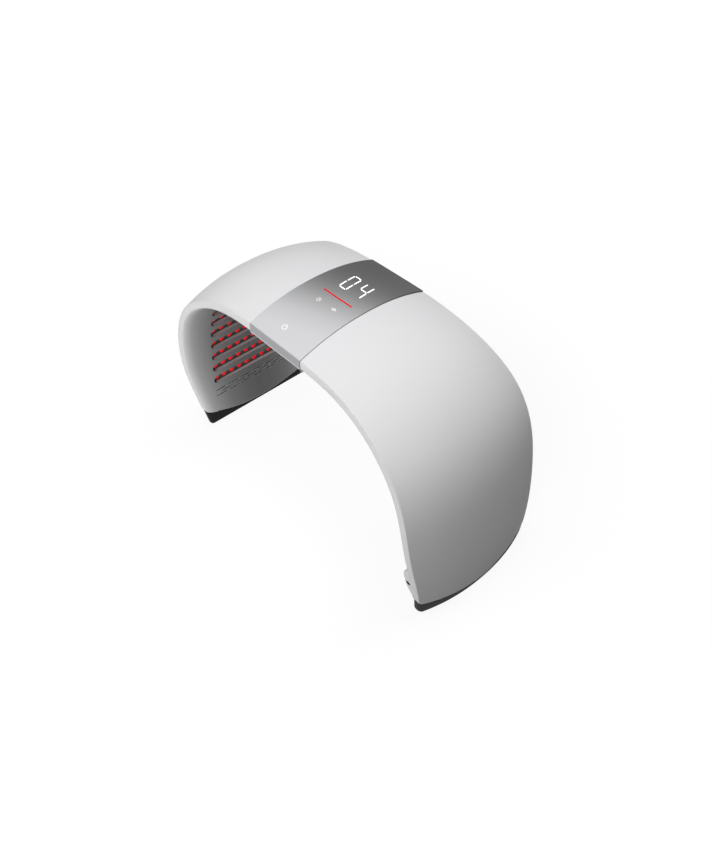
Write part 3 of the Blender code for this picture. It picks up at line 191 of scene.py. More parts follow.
# Hinges and inlet
AXIS_OFFSET = 0.0129
BARREL_RADIUS = 0.0024
HINGE_LENGTH = 0.0300
HINGE_INSET = 0.0010  # rim face to the end of the barrel
LEAF_REACH = 0.0140
POCKET_FLOOR = 0.0102
BOSS_ARCS = (0.3340, 0.3540, 0.3760, 0.4020)  # where the bump starts, is full, falls and ends
BOSS_HEIGHT = 0.0100
BOSS_DIP = 0.0006  # how far the bump's ends dip under the inner surface
BOSS_DEPTH = 0.0164
BOSS_ROUND = 0.0040
BOSS_SINK = 0.0008
BOSS_SET_BACK = 0.0006
SOCKET_ARC = 0.3680
SOCKET_OFFSET = 0.0144
SOCKET_RADIUS = 0.0033
SOCKET_HOLE = 0.00265
SOCKET_LENGTH = 0.0130
SOCKET_DEPTH = 0.0095
SOCKET_FACE = 0.0003  # behind the bump's front
MOUTH_BEVEL = (0.0002, 0.0003)
SOCKET_PIN = 0.0010
PIN_START = 0.0012
PIN_TAPER = 0.0005

# Tones, with the painted shade and light of the liner
RIM_REACH = 0.100  # farthest margin that a mark tells apart
# marks for a painted highlight, painted light on slot walls, and painted shadow in recesses
PAINTED_HIGHLIGHT_MARK, PAINTED_WALL_LIGHT_MARK, PAINTED_SHADOW_MARK = 0.0015, 0.015, 0.120
# painted shade: tones by mark, light at the rims, dark deep inside the arch and in recesses
LINER_PAINTED_SHADE_TONES = (
    (0.0, 0.72), (0.05, 0.62), (0.125, 0.45), (0.22, 0.35), (0.30, 0.29), (0.38, 0.23),
    (0.60, 0.165), (0.85, 0.14), (1.0, 0.03))
COVER_SPAN = (-0.1015, 0.075)
COVER_TILT = -1.8
COVER_FACE = 0.57
COVER_TONES = (
    (0.0, 0.65), (0.12, 0.64), (0.20, 0.60), (0.28, 0.545), (0.37, 0.44), (0.46, 0.33),
    (0.54, 0.24), (0.62, 0.18), (0.70, 0.135), (0.80, 0.10), (1.0, 0.05))
NODE_LOOKS = (  # how nodes' names start, and their material
    (("hinge_leaf", "hinge_pin"), "steel"), (("hinge_screw", "foot_screw"), "screw"),
    ("heat_spreader", "aluminium"), ("buzzer", "black"),
    (("control_board", "touch_board", "driver_board"), "circuit"))

# Studio
AMBIENT = 0.012
FLOOR_HALF = 3.0
FLOOR_TONE = 0.15
FLOOR_ROUGHNESS = 0.9
FLOOR_WHITE = (0.87, 1.0, 0.3, 1.3)  # its own light near and far, between two distances
MIDDLE = (0.0, 0.0, 0.13)
LEFT_INSIDE = (-0.2, 0.0, 0.1)
LIGHTS = (  # name, place, target, size, power
    ("top", (-0.1, 0.0, 1.9), MIDDLE, (1.0, 1.0), 10.8),
    ("top_front", (0.0, -1.2, 1.6), MIDDLE, (1.0, 1.0), 7.6),
    ("right_front", (0.9, -1.4, 1.4), MIDDLE, (0.8, 0.8), 16.2),
    ("top_back", (0.3, 0.9, 1.6), MIDDLE, (1.0, 0.8), 7.4),
    ("front_left", (-1.3, -1.5, 0.5), MIDDLE, (1.0, 0.8), 4.2),
    ("inside", (0.02, -0.34, 0.06), LEFT_INSIDE, (0.15, 0.06), 0.66))


# Arch geometry

SHARES = np.linspace(0.0, 1.0, STEPS + 1)


def running_sum(rate, step):
    """integral of evenly spaced values, from zero"""
    return np.concatenate([[0.0], np.cumsum((rate[1:] + rate[:-1]) / 2 * step)])


def arch_table():
    """arc positions along the edge line, with their x, z and outward normals"""
    step = SHARES[1]
    turn = running_sum(np.interp(SHARES, TURN_STATIONS, TURN_RATES), step)
    x, fall = running_sum(np.cos(turn), step), running_sum(np.sin(turn), step)
    x = x * HALF_SPAN / x.max()
    z = RISE * (1 - fall / fall[-1])
    length = np.concatenate([[0.0], np.cumsum(np.hypot(np.diff(x), np.diff(z)))])
    dx, dz = np.gradient(x, length), np.gradient(z, length)
    size = np.hypot(dx, dz)
    return length, x, z, -dz / size, dx / size


ARC, ARCH_X, ARCH_Z, NORMAL_X, NORMAL_Z = arch_table()
ARC_END = float(ARC[-1])


def edge_table(values):
    """depth of an edge at each row of the arch table, level at its start"""
    stations = np.array(EDGE_STATIONS)
    slopes = np.gradient(values, stations)
    slopes[0] = 0.0
    out = []
    for share in SHARES:
        if share >= stations[-1]:
            out.append(values[-1] + slopes[-1] * (share - stations[-1]))
            continue
        i = min(int(np.searchsorted(stations, share, side="right")) - 1, len(stations) - 2)
        width = stations[i + 1] - stations[i]
        u = (share - stations[i]) / width
        out.append(values[i] * (1 + 2 * u) * (1 - u) ** 2 + values[i + 1] * u * u * (3 - 2 * u)
                   + width * slopes[i] * u * (1 - u) ** 2 - width * slopes[i + 1] * u * u * (1 - u))
    return np.array(out)


FRONT_TABLE = edge_table(-FRONT_REACH * np.array(FRONT_REACHES))
BACK_TABLE = edge_table(BACK_REACH * np.array(BACK_REACHES))
CENTRE_Y = (FRONT_TABLE.min() + BACK_TABLE.max()) / 2


def front_y(arc):
    """depth of the front rim"""
    return np.interp(np.abs(arc) / ARC_END, SHARES, FRONT_TABLE) - CENTRE_Y


def back_y(arc):
    """depth of the back rim"""
    return np.interp(np.abs(arc) / ARC_END, SHARES, BACK_TABLE) - CENTRE_Y


def place(arc, offset, y):
    """points at arc positions, offsets and depths, as an array whose last axis is x, y, z"""
    arc, offset, y = np.broadcast_arrays(np.asarray(arc, float), offset, y)
    size, side = np.abs(arc), np.where(arc < 0, -1.0, 1.0)
    x, z = np.interp(size, ARC, ARCH_X), np.interp(size, ARC, ARCH_Z)
    nx, nz = np.interp(size, ARC, NORMAL_X), np.interp(size, ARC, NORMAL_Z)
    return np.stack([side * (x - offset * nx), y, z - offset * nz], -1)


def frame_at(arc, y):
    """matrix at the outer edge line: X away from the crown, Z outward"""
    size, side = abs(arc), math.copysign(1, arc)
    nx, nz = float(np.interp(size, ARC, NORMAL_X)), float(np.interp(size, ARC, NORMAL_Z))
    p = place(arc, 0.0, y)
    return Matrix(((side * nz, 0, side * nx, p[0]),
                   (0, 1, 0, p[1]),
                   (-nx, 0, nz, p[2]),
                   (0, 0, 0, 1)))


def swell(arc, y):
    """how far the outer surface stands out of the edge line"""
    front, back = front_y(arc), back_y(arc)
    v = np.minimum(1.0, np.abs((2 * y - front - back) / (back - front)))
    return SWELL * (1 - v ** SWELL_POWER)


def blend(low, high, value):
    """smooth step from 0 to 1"""
    u = np.clip((value - low) / (high - low), 0.0, 1.0)
    return u * u * (3 - 2 * u)


def margin_of(arc, y):
    return np.minimum(y - front_y(arc), back_y(arc) - y)


def rounded(distance, radius):
    """how far a round edge draws back at this distance from the edge"""
    reach = np.clip(radius - distance, 0.0, radius)
    return radius - np.sqrt(np.maximum(0.0, radius ** 2 - reach ** 2))


def grown(ends, arc):
    """size that changes from the module to the wing's lower part"""
    return ends[0] + (ends[1] - ends[0]) * blend(*ROLL_GROW, np.abs(arc))


def rim_offset(arc, y):
    """offset of the inner surface, which rolls over to the rims"""
    width, face = grown(ROLL_DEPTH, arc), grown(RIM_FACE, arc)
    return INNER - (INNER - face) * rounded(margin_of(arc, y), width) / width


def tongue_height(y, outer):
    """height of the wing's lower edge, on its outer or its inner face"""
    front, back = front_y(ARC_END), back_y(ARC_END)
    v = (2 * y - front - back) / (back - front)
    low, power = (OUTER_LOW, OUTER_POWER) if outer else (TONGUE_LOW, TONGUE_POWER)
    rise = np.where(v < 0, TONGUE_RISE[0], TONGUE_RISE[1]) + TONGUE_LOW - low
    corner = rounded(np.minimum(y - front, back - y), CORNER_RADIUS)
    return low + rise * np.minimum(1.0, np.abs(v)) ** power + corner


def tongue_arc(column, lift, outer):
    """arc position of the lower edge on a column, lifted by a little"""
    height = tongue_height(column(ARC_END), outer) + lift
    return float(np.interp(-height, -ARCH_Z, ARC))


# Mesh helpers

def add_object(name, data):
    item = bpy.data.objects.new(name, data)
    bpy.context.scene.collection.objects.link(item)
    return item


def smooth(mesh, angle=SMOOTH_ANGLE):
    """soft shading, sharp past an angle in degrees"""
    mesh.shade_smooth()
    mesh.set_sharp_from_angle(angle=math.radians(angle))


def new_object(name, vertices, faces, material=None, angle=SMOOTH_ANGLE, marks=None):
    """smooth object from points and faces, each point with a mark where they are given"""
    mesh = bpy.data.meshes.new(name)
    mesh.from_pydata([tuple(v) for v in vertices], [], faces)
    if marks is not None:
        layer = mesh.attributes.new("rim", "FLOAT", "POINT")
        layer.data.foreach_set("value", marks.astype(np.float32))
    work = bmesh.new()
    work.from_mesh(mesh)
    bmesh.ops.remove_doubles(work, verts=work.verts, dist=WELD)
    bmesh.ops.recalc_face_normals(work, faces=work.faces)
    work.to_mesh(mesh)
    work.free()
    smooth(mesh, angle)
    if material is not None:
        mesh.materials.append(material)
    return add_object(name, mesh)


def settle(item, body, node=None):
    """the piece takes a node's place, if one is given, and rides on its body"""
    if node:
        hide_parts(node)
    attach(item, body)


def grid_faces(rows, columns, start=0, wrap=False):
    """quads between rows of points, closed around each row or open"""
    faces = []
    for i in range(rows - 1):
        for j in range(columns if wrap else columns - 1):
            k = (j + 1) % columns
            a, b = start + i * columns, start + (i + 1) * columns
            faces.append((a + j, b + j, b + k, a + k))
    return faces


def skin(name, outer, inner, material):
    """closed skin between two grids of points, with both ends capped"""
    rows = np.concatenate([outer, inner[:, ::-1]], 1)
    count, ring = rows.shape[:2]
    faces = grid_faces(count, ring, wrap=True)
    for a in (0, (count - 1) * ring):
        for j in range(ring // 2 - 1):
            faces.append((a + j, a + j + 1, a + ring - 2 - j, a + ring - 1 - j))
    return new_object(name, rows.reshape(-1, 3), faces, material)


def nearest_rim(points):
    """distance of points from the nearer of the front and back rims, up to a reach"""
    height = np.clip(points[:, 2], 0.0, RISE)
    arc = np.interp(-height, -ARCH_Z, ARC)
    return np.clip(margin_of(arc, points[:, 1]), 0.0, RIM_REACH)


class Sheet:
    """collects patches of points that share their borders, each point with a mark for its painted
    shade tone
    """

    def __init__(self):
        self.points, self.faces, self.marks, self.count = [], [], [], 0

    def grid(self, rows, wrap=False, mark=None, first=0):
        """patch of rows of points; from a first row on, points may carry a mark of their own"""
        self.faces += grid_faces(rows.shape[0], rows.shape[1], self.count, wrap)
        # painted shade from the distance to the rims, unless a mark is given
        marks = nearest_rim(rows.reshape(-1, 3)).reshape(rows.shape[:2])
        if mark is not None:
            marks[first:] = mark
        self.points.append(rows.reshape(-1, 3))
        self.marks.append(marks.ravel())
        self.count += rows.shape[0] * rows.shape[1]

    def fan(self, ring, mark=0.0):
        """one face that closes a ring"""
        self.faces.append(tuple(range(self.count, self.count + len(ring))))
        self.points.append(ring)
        self.marks.append(np.full(len(ring), mark))
        self.count += len(ring)

    def build(self, name, material, angle=SMOOTH_ANGLE):
        points, marks = np.concatenate(self.points), np.concatenate(self.marks)
        return new_object(name, points, self.faces, material, angle, marks)


def cut(item, matrix, outline, low, high):
    """cuts a straight prism on an outline in a matrix's plane out of an item"""
    points = [matrix @ Vector((x, y, level)) for level in (low, high) for x, y in outline]
    count = len(outline)
    faces = [(i, (i + 1) % count, count + (i + 1) % count, count + i) for i in range(count)]
    faces += [tuple(range(count)), tuple(range(2 * count - 1, count - 1, -1))]
    cutter = new_object("cutter", points, faces)
    modifier = item.modifiers.new("cut", "BOOLEAN")
    modifier.operation, modifier.solver, modifier.object = "DIFFERENCE", "EXACT", cutter
    depsgraph = bpy.context.evaluated_depsgraph_get()
    mesh = bpy.data.meshes.new_from_object(item.evaluated_get(depsgraph))
    item.modifiers.clear()
    old = item.data
    item.data = mesh
    bpy.data.meshes.remove(old)
    bpy.data.objects.remove(cutter)


def stadium(length, width, end=17):
    """round-ended outline along Y, with so many points to an end"""
    radius, straight = width / 2, (length - width) / 2
    return [(sign * radius * math.cos(t), sign * (straight + radius * math.sin(t)))
            for sign in (1, -1) for t in np.linspace(0, math.pi, end)]


def circle(radius, segments):
    turns = np.linspace(0, 2 * math.pi, segments, endpoint=False)
    return [(radius * math.cos(t), radius * math.sin(t)) for t in turns]


def turned(sheet, matrix, profile, segments):
    """surface turned about the matrix's Z axis from radius and height pairs, closed at its end"""
    rings = np.array([[matrix @ Vector((x, y, height)) for x, y in circle(radius, segments)]
                      for radius, height in profile], float)
    sheet.grid(rings, wrap=True)
    sheet.fan(rings[-1])
    return rings


# Materials

def fill(tree, item, inputs):
    """gives a node's inputs values, or links from other nodes' outputs"""
    for key, value in inputs.items():
        if isinstance(value, bpy.types.NodeSocket):
            tree.links.new(value, item.inputs[key])
        else:
            item.inputs[key].default_value = value


def new_node(tree, kind, inputs=None, **settings):
    item = tree.nodes.new("ShaderNode" + kind)
    for key, value in settings.items():
        setattr(item, key, value)
    fill(tree, item, inputs or {})
    return item


class Nodes:
    """short names for building a shader"""

    def __init__(self, name, colour, roughness, metallic=0.0):
        self.material = bpy.data.materials.new(name)
        self.material.use_nodes = True
        self.material.diffuse_color = (*colour, 1)
        self.tree = self.material.node_tree
        self.coordinates = self.node("TexCoord").outputs["Object"]
        self.shade({"Base Color": (*colour, 1), "Roughness": roughness, "Metallic": metallic})

    def node(self, kind, inputs=None, **settings):
        return new_node(self.tree, kind, inputs, **settings)

    def shade(self, inputs):
        """gives the shader values or links, and returns the material"""
        fill(self.tree, self.tree.nodes["Principled BSDF"], inputs)
        return self.material

    def noise(self, scale, detail=3.0, stretch=None):
        vector = self.coordinates
        if stretch is not None:
            vector = self.node("Mapping", {"Scale": stretch, "Vector": vector}).outputs["Vector"]
        inputs = {"Scale": scale, "Detail": detail, "Vector": vector}
        return self.node("TexNoise", inputs).outputs["Fac"]

    def ramp(self, source, stops):
        item = self.node("ValToRGB", {"Fac": source})
        elements = item.color_ramp.elements
        while len(elements) < len(stops):
            elements.new(0.5)
        for element, (position, colour) in zip(elements, stops):
            element.position = position
            element.color = (*colour, 1)
        return item.outputs["Color"]

    def drift(self, source, colour, amount, low=0.35):
        """colour that wanders from a little darker to a little lighter"""
        return self.ramp(source, ((low, [max(0.0, c * (1 - amount)) for c in colour]),
                                  (1 - low, [min(1.0, c * (1 + amount)) for c in colour])))

    def spread(self, source, low, high, from_low=0.0, from_high=1.0):
        """values between two limits laid over two others"""
        return self.node("MapRange", {
            "Value": source, "From Min": from_low, "From Max": from_high, "To Min": low,
            "To Max": high}).outputs["Result"]

    def multiply_add(self, source, factor, added):
        inputs = {0: source, 1: factor, 2: added}
        return self.node("Math", inputs, operation="MULTIPLY_ADD").outputs[0]

    def bump(self, source, strength, distance):
        inputs = {"Strength": strength, "Distance": distance, "Height": source}
        return self.node("Bump", inputs).outputs["Normal"]


def moulded(name, colour, roughness, amount=0.02, grain=900.0, strength=0.12, gloss=0.5):
    """moulded plastic: faint tone drift, fine grain, uneven roughness"""
    n = Nodes(name, colour, roughness)
    return n.shade({"Base Color": n.drift(n.noise(9.0), colour, amount, 0.3),
                    "Roughness": n.spread(n.noise(40.0), roughness - 0.03, roughness + 0.04),
                    "Normal": n.bump(n.noise(grain, 2.0), strength, 0.00005),
                    "Specular IOR Level": gloss})


def cover_material():
    """satin grey panel, dark at the back and light at the front"""
    n = Nodes("cover_grey", (0.3, 0.3, 0.31), 0.34)
    split = n.node("SeparateXYZ", {"Vector": n.coordinates}).outputs
    share = n.spread(split["Y"], 0.0, 1.0, *COVER_SPAN)
    tilted = n.multiply_add(split["X"], COVER_TILT, share)
    mix = n.multiply_add(n.noise(600.0, 2.0), 0.004, tilted)
    tones = n.ramp(mix, [(at, (tone, tone, tone * 1.02)) for at, tone in COVER_TONES])
    face = n.ramp(share, ((0.006, (COVER_FACE,) * 3), (0.010, (1.0, 1.0, 1.0))))
    product = n.node("VectorMath", {0: tones, 1: face}, operation="MULTIPLY").outputs[0]
    return n.shade({"Base Color": product, "Roughness": n.spread(n.noise(50.0), 0.31, 0.38),
                    "Normal": n.bump(n.noise(1400.0, 2.0), 0.08, 0.00004),
                    "Specular IOR Level": 0.12})


def liner_material():
    """wing's inner plastic with painted shade: light where the rim rolls over, darker deeper inside
    """
    n = Nodes("liner_painted_shade", (0.3, 0.3, 0.305), 0.6)
    marks = n.node("Attribute", attribute_name="rim").outputs["Fac"]
    mix = n.multiply_add(n.noise(9.0), 0.03, n.spread(marks, 0.0, 1.0, 0.0, PAINTED_SHADOW_MARK))
    tones = n.ramp(mix, [(at, (tone, tone, tone * 1.01)) for at, tone in LINER_PAINTED_SHADE_TONES])
    return n.shade({"Base Color": tones, "Roughness": n.spread(n.noise(40.0), 0.56, 0.64),
                    "Normal": n.bump(n.noise(1000.0, 2.0), 0.12, 0.00005),
                    "Specular IOR Level": 0.15})


def metal(name, colour, roughness, stretch=(1.0, 0.06, 1.0)):
    """metal with fine marks, drawn out by a stretch"""
    n = Nodes(name, colour, roughness, 1.0)
    return n.shade({"Base Color": n.drift(n.noise(800.0, 4.0, stretch), colour, 0.12),
                    "Roughness": n.spread(n.noise(300.0), roughness - 0.06, roughness + 0.08),
                    "Normal": n.bump(n.noise(1200.0, 3.0, stretch), 0.1, 0.00003)})


def glowing(name, colour, roughness, strength, gloss=0.5):
    """surface with a glow of its own"""
    n = Nodes(name, colour, roughness)
    tone = n.drift(n.noise(300.0), colour, 0.06)
    return n.shade({"Base Color": tone, "Emission Color": tone, "Emission Strength": strength,
                    "Specular IOR Level": gloss})


def circuit(name, mask, roughness=0.4):
    """solder mask with pale traces"""
    n = Nodes(name, mask, roughness)
    trace = [min(1.0, c * 2.2 + 0.02) for c in mask]
    brick = n.node("TexBrick", {
        "Scale": 90.0, "Mortar Size": 0.02, "Color1": (*mask, 1), "Mortar": (*trace, 1),
        "Color2": (*[c * 0.8 for c in mask], 1), "Vector": n.coordinates}).outputs["Color"]
    rough = n.spread(n.noise(200.0), roughness - 0.05, roughness + 0.05)
    return n.shade({"Base Color": brick, "Roughness": rough})


LOOKS = {
    "shell": moulded("shell_plastic", (0.76, 0.76, 0.77), 0.5, 0.012, 1100.0, 0.08, 0.05),
    "liner": liner_material(),
    "cover": cover_material(),
    "trim": moulded("trim_plastic", (0.50, 0.50, 0.52), 0.38, 0.02),
    "rubber": moulded("foot_rubber", (0.009, 0.009, 0.010), 0.6, 0.2, 1500.0, 0.3, 0.12),
    "black": moulded("black_plastic", (0.02, 0.02, 0.022), 0.35, 0.15),
    "floor": moulded("led_floor", (0.03, 0.03, 0.03), 0.45, 0.08, 700.0, 0.2),
    "steel": metal("hinge_steel", (0.20, 0.20, 0.21), 0.38),
    "screw": metal("screw_steel", (0.12, 0.12, 0.13), 0.36, (1.0, 1.0, 1.0)),
    "aluminium": metal("spreader_aluminium", (0.7, 0.7, 0.71), 0.42),
    "circuit": circuit("circuit_board", (0.02, 0.12, 0.05)),
    "digit": glowing("display_white", (0.95, 0.95, 0.95), 0.3, 0.9),
    # printed marks with a faint painted glow
    "mark": glowing("printed_white_painted_glow", (0.9, 0.9, 0.9), 0.4, 0.25),
    "red_bar": glowing("bar_red", (0.62, 0.004, 0.006), 0.7, 0.3, 0.1),
    "lens": glowing("led_red", (0.85, 0.007, 0.010), 0.3, 0.3, 0.12),
}


# Wing surfaces. A column is a function from arc positions to depths

def margins_to_columns(margins, middle):
    """columns at margins from the front, at even shares between, and at margins from the back"""
    wide = max(margins)
    front = [lambda arc, d=d: front_y(arc) + d for d in margins]
    back = [lambda arc, d=d: back_y(arc) - d for d in reversed(margins)]
    between = [lambda arc, s=s: front_y(arc) + wide + s * (back_y(arc) - front_y(arc) - 2 * wide)
               for s in np.linspace(0.0, 1.0, middle + 2)[1:-1]]
    return front + between + back


def wing_rows(side, columns, start, along, outer):
    """arc positions of each column at shares of the way to the wing's lower edge"""
    ends = np.array([tongue_arc(column, 0.0, outer) for column in columns])
    return side * (start + (ends - start) * along[:, None]), ends


def depths(columns, arcs):
    """depth of each column at its arc positions"""
    return np.stack([column(arcs[:, j]) for j, column in enumerate(columns)], 1)


def wing_skin(name):
    """outer surface and rim of a wing, with a plain hidden back"""
    columns = margins_to_columns(SKIN_MARGINS, 34)
    start = MODULE_HALF + GAP
    near = np.array(END_STEPS) / (ARC_END - start)
    along = np.concatenate([near, np.linspace(0.0, 1.0, 98)[1:-1], 1 - near[::-1]])
    arcs, ends = wing_rows(SIDES[name], columns, start, along, True)
    y = depths(columns, arcs)
    margin, from_seam, from_foot = margin_of(arcs, y), np.abs(arcs) - start, ends - np.abs(arcs)
    outer = rounded(margin, EDGE_ROUND) - swell(arcs, y)
    outer = outer + rounded(np.minimum(from_seam, from_foot), END_ROUND)
    solid = np.minimum(rim_offset(arcs, y) - BEHIND_LINER, POCKET_FLOOR - BEHIND_POCKET)
    hollow = (margin > SOLID_RIM) & (from_seam > SOLID_SEAM) & (from_foot > SOLID_FOOT)
    inner = np.where(hollow, SKIN - swell(arcs, y), solid)
    for j in (0, -1):
        inner[:, j] = grown(RIM_FACE, arcs[:, j]) - TUCK
    item = skin("wing_skin_" + name, place(arcs, outer, y), place(arcs, inner, y), LOOKS["shell"])
    settle(item, name + "_wing", "wing_shell_" + name)


CELL_LINES = (VENT_FRONT_Y - (VENT_PITCH - VENT_LENGTH) / 2
              + VENT_PITCH / LINES_PER_VENT * np.arange(LINES_PER_VENT * VENT_COUNT + 1))
ROLL_SHARES = np.array([0.0, 0.02, 0.06, 0.12, 0.2, 0.3, 0.42, 0.55, 0.7, 0.85, 1.0]) ** 1.5


def band_columns(front):
    """columns between a rim and the nearest cell line, rim first"""
    edge, sign, limit = (front_y, 1, CELL_LINES[0]) if front else (back_y, -1, CELL_LINES[-1])

    def roll(arc, share):
        return edge(arc) + sign * grown(ROLL_DEPTH, arc) * share

    def flat(arc, share):
        return roll(arc, 1) + (limit - roll(arc, 1)) * share
    return ([lambda arc, s=s: roll(arc, s) for s in ROLL_SHARES]
            + [lambda arc, s=s: flat(arc, s) for s in np.linspace(0.0, 1.0, 7)[1:]])


def liner_columns():
    """columns from rim to rim, with the cell lines in the middle"""
    middle = [lambda arc, y=y: y + 0 * arc for y in CELL_LINES[1:-1]]
    return band_columns(True) + middle + band_columns(False)[::-1]


def hinge_starts():
    """front ends of the front and the back hinge"""
    front = float(front_y(MODULE_HALF)) + HINGE_INSET
    back = float(back_y(MODULE_HALF)) - HINGE_INSET - HINGE_LENGTH
    return (front, back)


def in_pocket(arc, y):
    """true where a hinge leaf's recess lies"""
    front, back = [(y > start - GAP) & (y < start + HINGE_LENGTH + GAP) for start in hinge_starts()]
    return (np.abs(arc) < MODULE_HALF + LEAF_REACH + GAP) & (front | back)


def tuck(sheet, arcs, offset, y):
    """strip that carries the liner's rim on to the skin's rim face"""
    sheet.grid(np.stack([place(arcs, offset - TUCK, y), place(arcs, offset, y)], 1))


def patch(sheet, arcs, columns, rims):
    """liner over columns, with strips along those that are rims"""
    grid = np.repeat(arcs[:, None], len(columns), 1)
    y = depths(columns, grid)
    sheet.grid(place(grid, rim_offset(grid, y), y))
    for column in rims:
        y = column(arcs)
        tuck(sheet, arcs, rim_offset(arcs, y), y)


def bands(sheet, arcs):
    """liner between the rims and the cells"""
    for front in (True, False):
        columns = band_columns(front)
        patch(sheet, arcs, columns, columns[:1])


def seam_section(sheet, side):
    """liner beside the hinges, with the leaves' recesses"""
    start, end = MODULE_HALF + GAP, ROW_LAST - (ROW_COUNT - 0.5) * ROW_PITCH
    wall = MODULE_HALF + LEAF_REACH + GAP
    arcs = np.unique(np.concatenate([np.linspace(start, end, 12), [wall - HAIR, wall + HAIR]]))
    lines = [edge + hair for hinge in hinge_starts() for hair in (-HAIR, HAIR)
             for edge in (hinge - GAP, hinge + HINGE_LENGTH + GAP)]
    base = [float(column(MODULE_HALF)) for column in liner_columns()]
    y = np.unique(np.concatenate([base, [v for v in lines if base[0] < v < base[-1]]]))
    share = (y - base[0]) / (base[-1] - base[0])
    a = side * arcs[:, None]
    y = front_y(a) + share * (back_y(a) - front_y(a))
    offset = np.where(in_pocket(a, y), POCKET_FLOOR, rim_offset(a, y))
    sheet.grid(place(a, offset, y))
    for j in (0, -1):
        tuck(sheet, a[:, 0], offset[:, j], y[:, j])


def cell_border(across, lines):
    """closed border of a cell: up one long side, across, down the other, back"""
    border = [(across[0], y) for y in lines] + [(a, lines[-1]) for a in across[1:]]
    border += [(across[-1], y) for y in lines[-2::-1]] + [(a, lines[0]) for a in across[-2:0:-1]]
    return np.array(border)


def hole_points(border, centre, low, high, radius):
    """for each border point, the point of a round-ended hole that faces it"""
    out = []
    ends, depth = (low + radius, high - radius), border[:, 1]
    half = np.abs(border[:, 0] - centre).max()
    for arc, y in border:
        if ends[0] <= y <= ends[1] and abs(abs(arc - centre) - half) < TINY:
            out.append((centre + math.copysign(radius, arc - centre), y))
            continue
        middle, beyond = (ends[0], depth < ends[0]) if y < ends[0] else (ends[1], depth > ends[1])
        reach = np.abs(depth - middle)[beyond].max()
        direction = np.array([(arc - centre) * radius / half,
                              (y - middle) * (radius / max(reach, radius))])
        direction = direction / np.hypot(*direction)
        out.append((centre + radius * direction[0], middle + radius * direction[1]))
    return np.array(out)


def holed_cell(sheet, side, border, hole, depth, lip, rings=(1.0, 0.55, 0.25, 0.08), floor=False):
    """cell of the liner around a hole with a round lip and straight walls"""
    def loop(points, level):
        return place(side * points[:, 0], INNER - level, points[:, 1])
    loops = [loop(hole + (border - hole) * share, 0.0) for share in rings]
    tangent = np.roll(hole, -1, 0) - np.roll(hole, 1, 0)
    normal = np.stack([tangent[:, 1], -tangent[:, 0]], 1)
    normal /= np.hypot(normal[:, 0], normal[:, 1])[:, None]
    normal *= np.sign((normal * (hole - hole.mean(0))).sum(1))[:, None]
    for turn in np.radians([90.0, 67.5, 45.0, 22.5, 0.0]):
        points = hole + normal * lip * (1 - math.cos(turn))
        loops.append(loop(points, lip * (1 - math.sin(turn))))
    sheet.grid(np.array(loops), wrap=True)
    # slots: painted light on the walls, painted shade at their front ends
    shade = np.where(hole[:, 1] < hole[:, 1].min() + END_SHADE, PAINTED_SHADOW_MARK, PAINTED_WALL_LIGHT_MARK)
    # vents: painted highlight under the lip, painted shadow on the walls below it and on the floor
    # that closes the hole
    lit = lip + LIT_EDGE
    walls = ((lip, lit, PAINTED_HIGHLIGHT_MARK), (lit, depth, PAINTED_SHADOW_MARK)) if floor else ((lip, depth, shade),)
    for top, bottom, mark in walls:
        sheet.grid(np.array([loop(hole, top + SPLIT), loop(hole, bottom)]), wrap=True, mark=mark)
    if floor:
        sheet.fan(loop(hole, depth + SPLIT), PAINTED_SHADOW_MARK)


def led_rows():
    """arc position and number of LEDs of each row, lowest first"""
    return [(ROW_LAST - i * ROW_PITCH, LED_COUNT - (1 if i >= ROW_COUNT - SHORT_ROWS else 0))
            for i in range(ROW_COUNT)]


def slot_section(sheet, side):
    """liner with a round-ended slot over each row of LEDs"""
    for arc, count in led_rows():
        across = np.linspace(arc - ROW_PITCH / 2, arc + ROW_PITCH / 2, 7)
        border = cell_border(across, CELL_LINES)
        low, high = LED_FRONT_Y - SLOT_OVER, LED_FRONT_Y + (count - 1) * LED_PITCH + SLOT_OVER
        hole = hole_points(border, arc, low, high, SLOT_WIDTH / 2)
        holed_cell(sheet, side, border, hole, SLOT_DEPTH + SLOT_SINK, SLOT_LIP)
        bands(sheet, side * across)


def vent_section(sheet, side):
    """staggered rows of thin slots, every other row moved by half a pitch"""
    for row in range(VENT_ROWS):
        odd, arc = row % 2, VENT_START + row * VENT_ROW_PITCH
        across = np.linspace(arc - VENT_ROW_PITCH / 2, arc + VENT_ROW_PITCH / 2, 3)
        skip = odd * LINES_PER_VENT // 2
        for i in range(VENT_COUNT - odd):
            first = skip + LINES_PER_VENT * i
            border = cell_border(across, CELL_LINES[first:first + LINES_PER_VENT + 1])
            low = VENT_FRONT_Y + odd * VENT_PITCH / 2 + i * VENT_PITCH
            hole = hole_points(border, arc, low, low + VENT_LENGTH, VENT_WIDTH / 2)
            holed_cell(sheet, side, border, hole, VENT_DEPTH, VENT_LIP, (1.0, 0.4), True)
        if skip:
            for part in (CELL_LINES[:skip + 1], CELL_LINES[-skip - 1:]):
                sheet.grid(place(side * across[:, None], INNER, part[None, :]))
        bands(sheet, side * across)


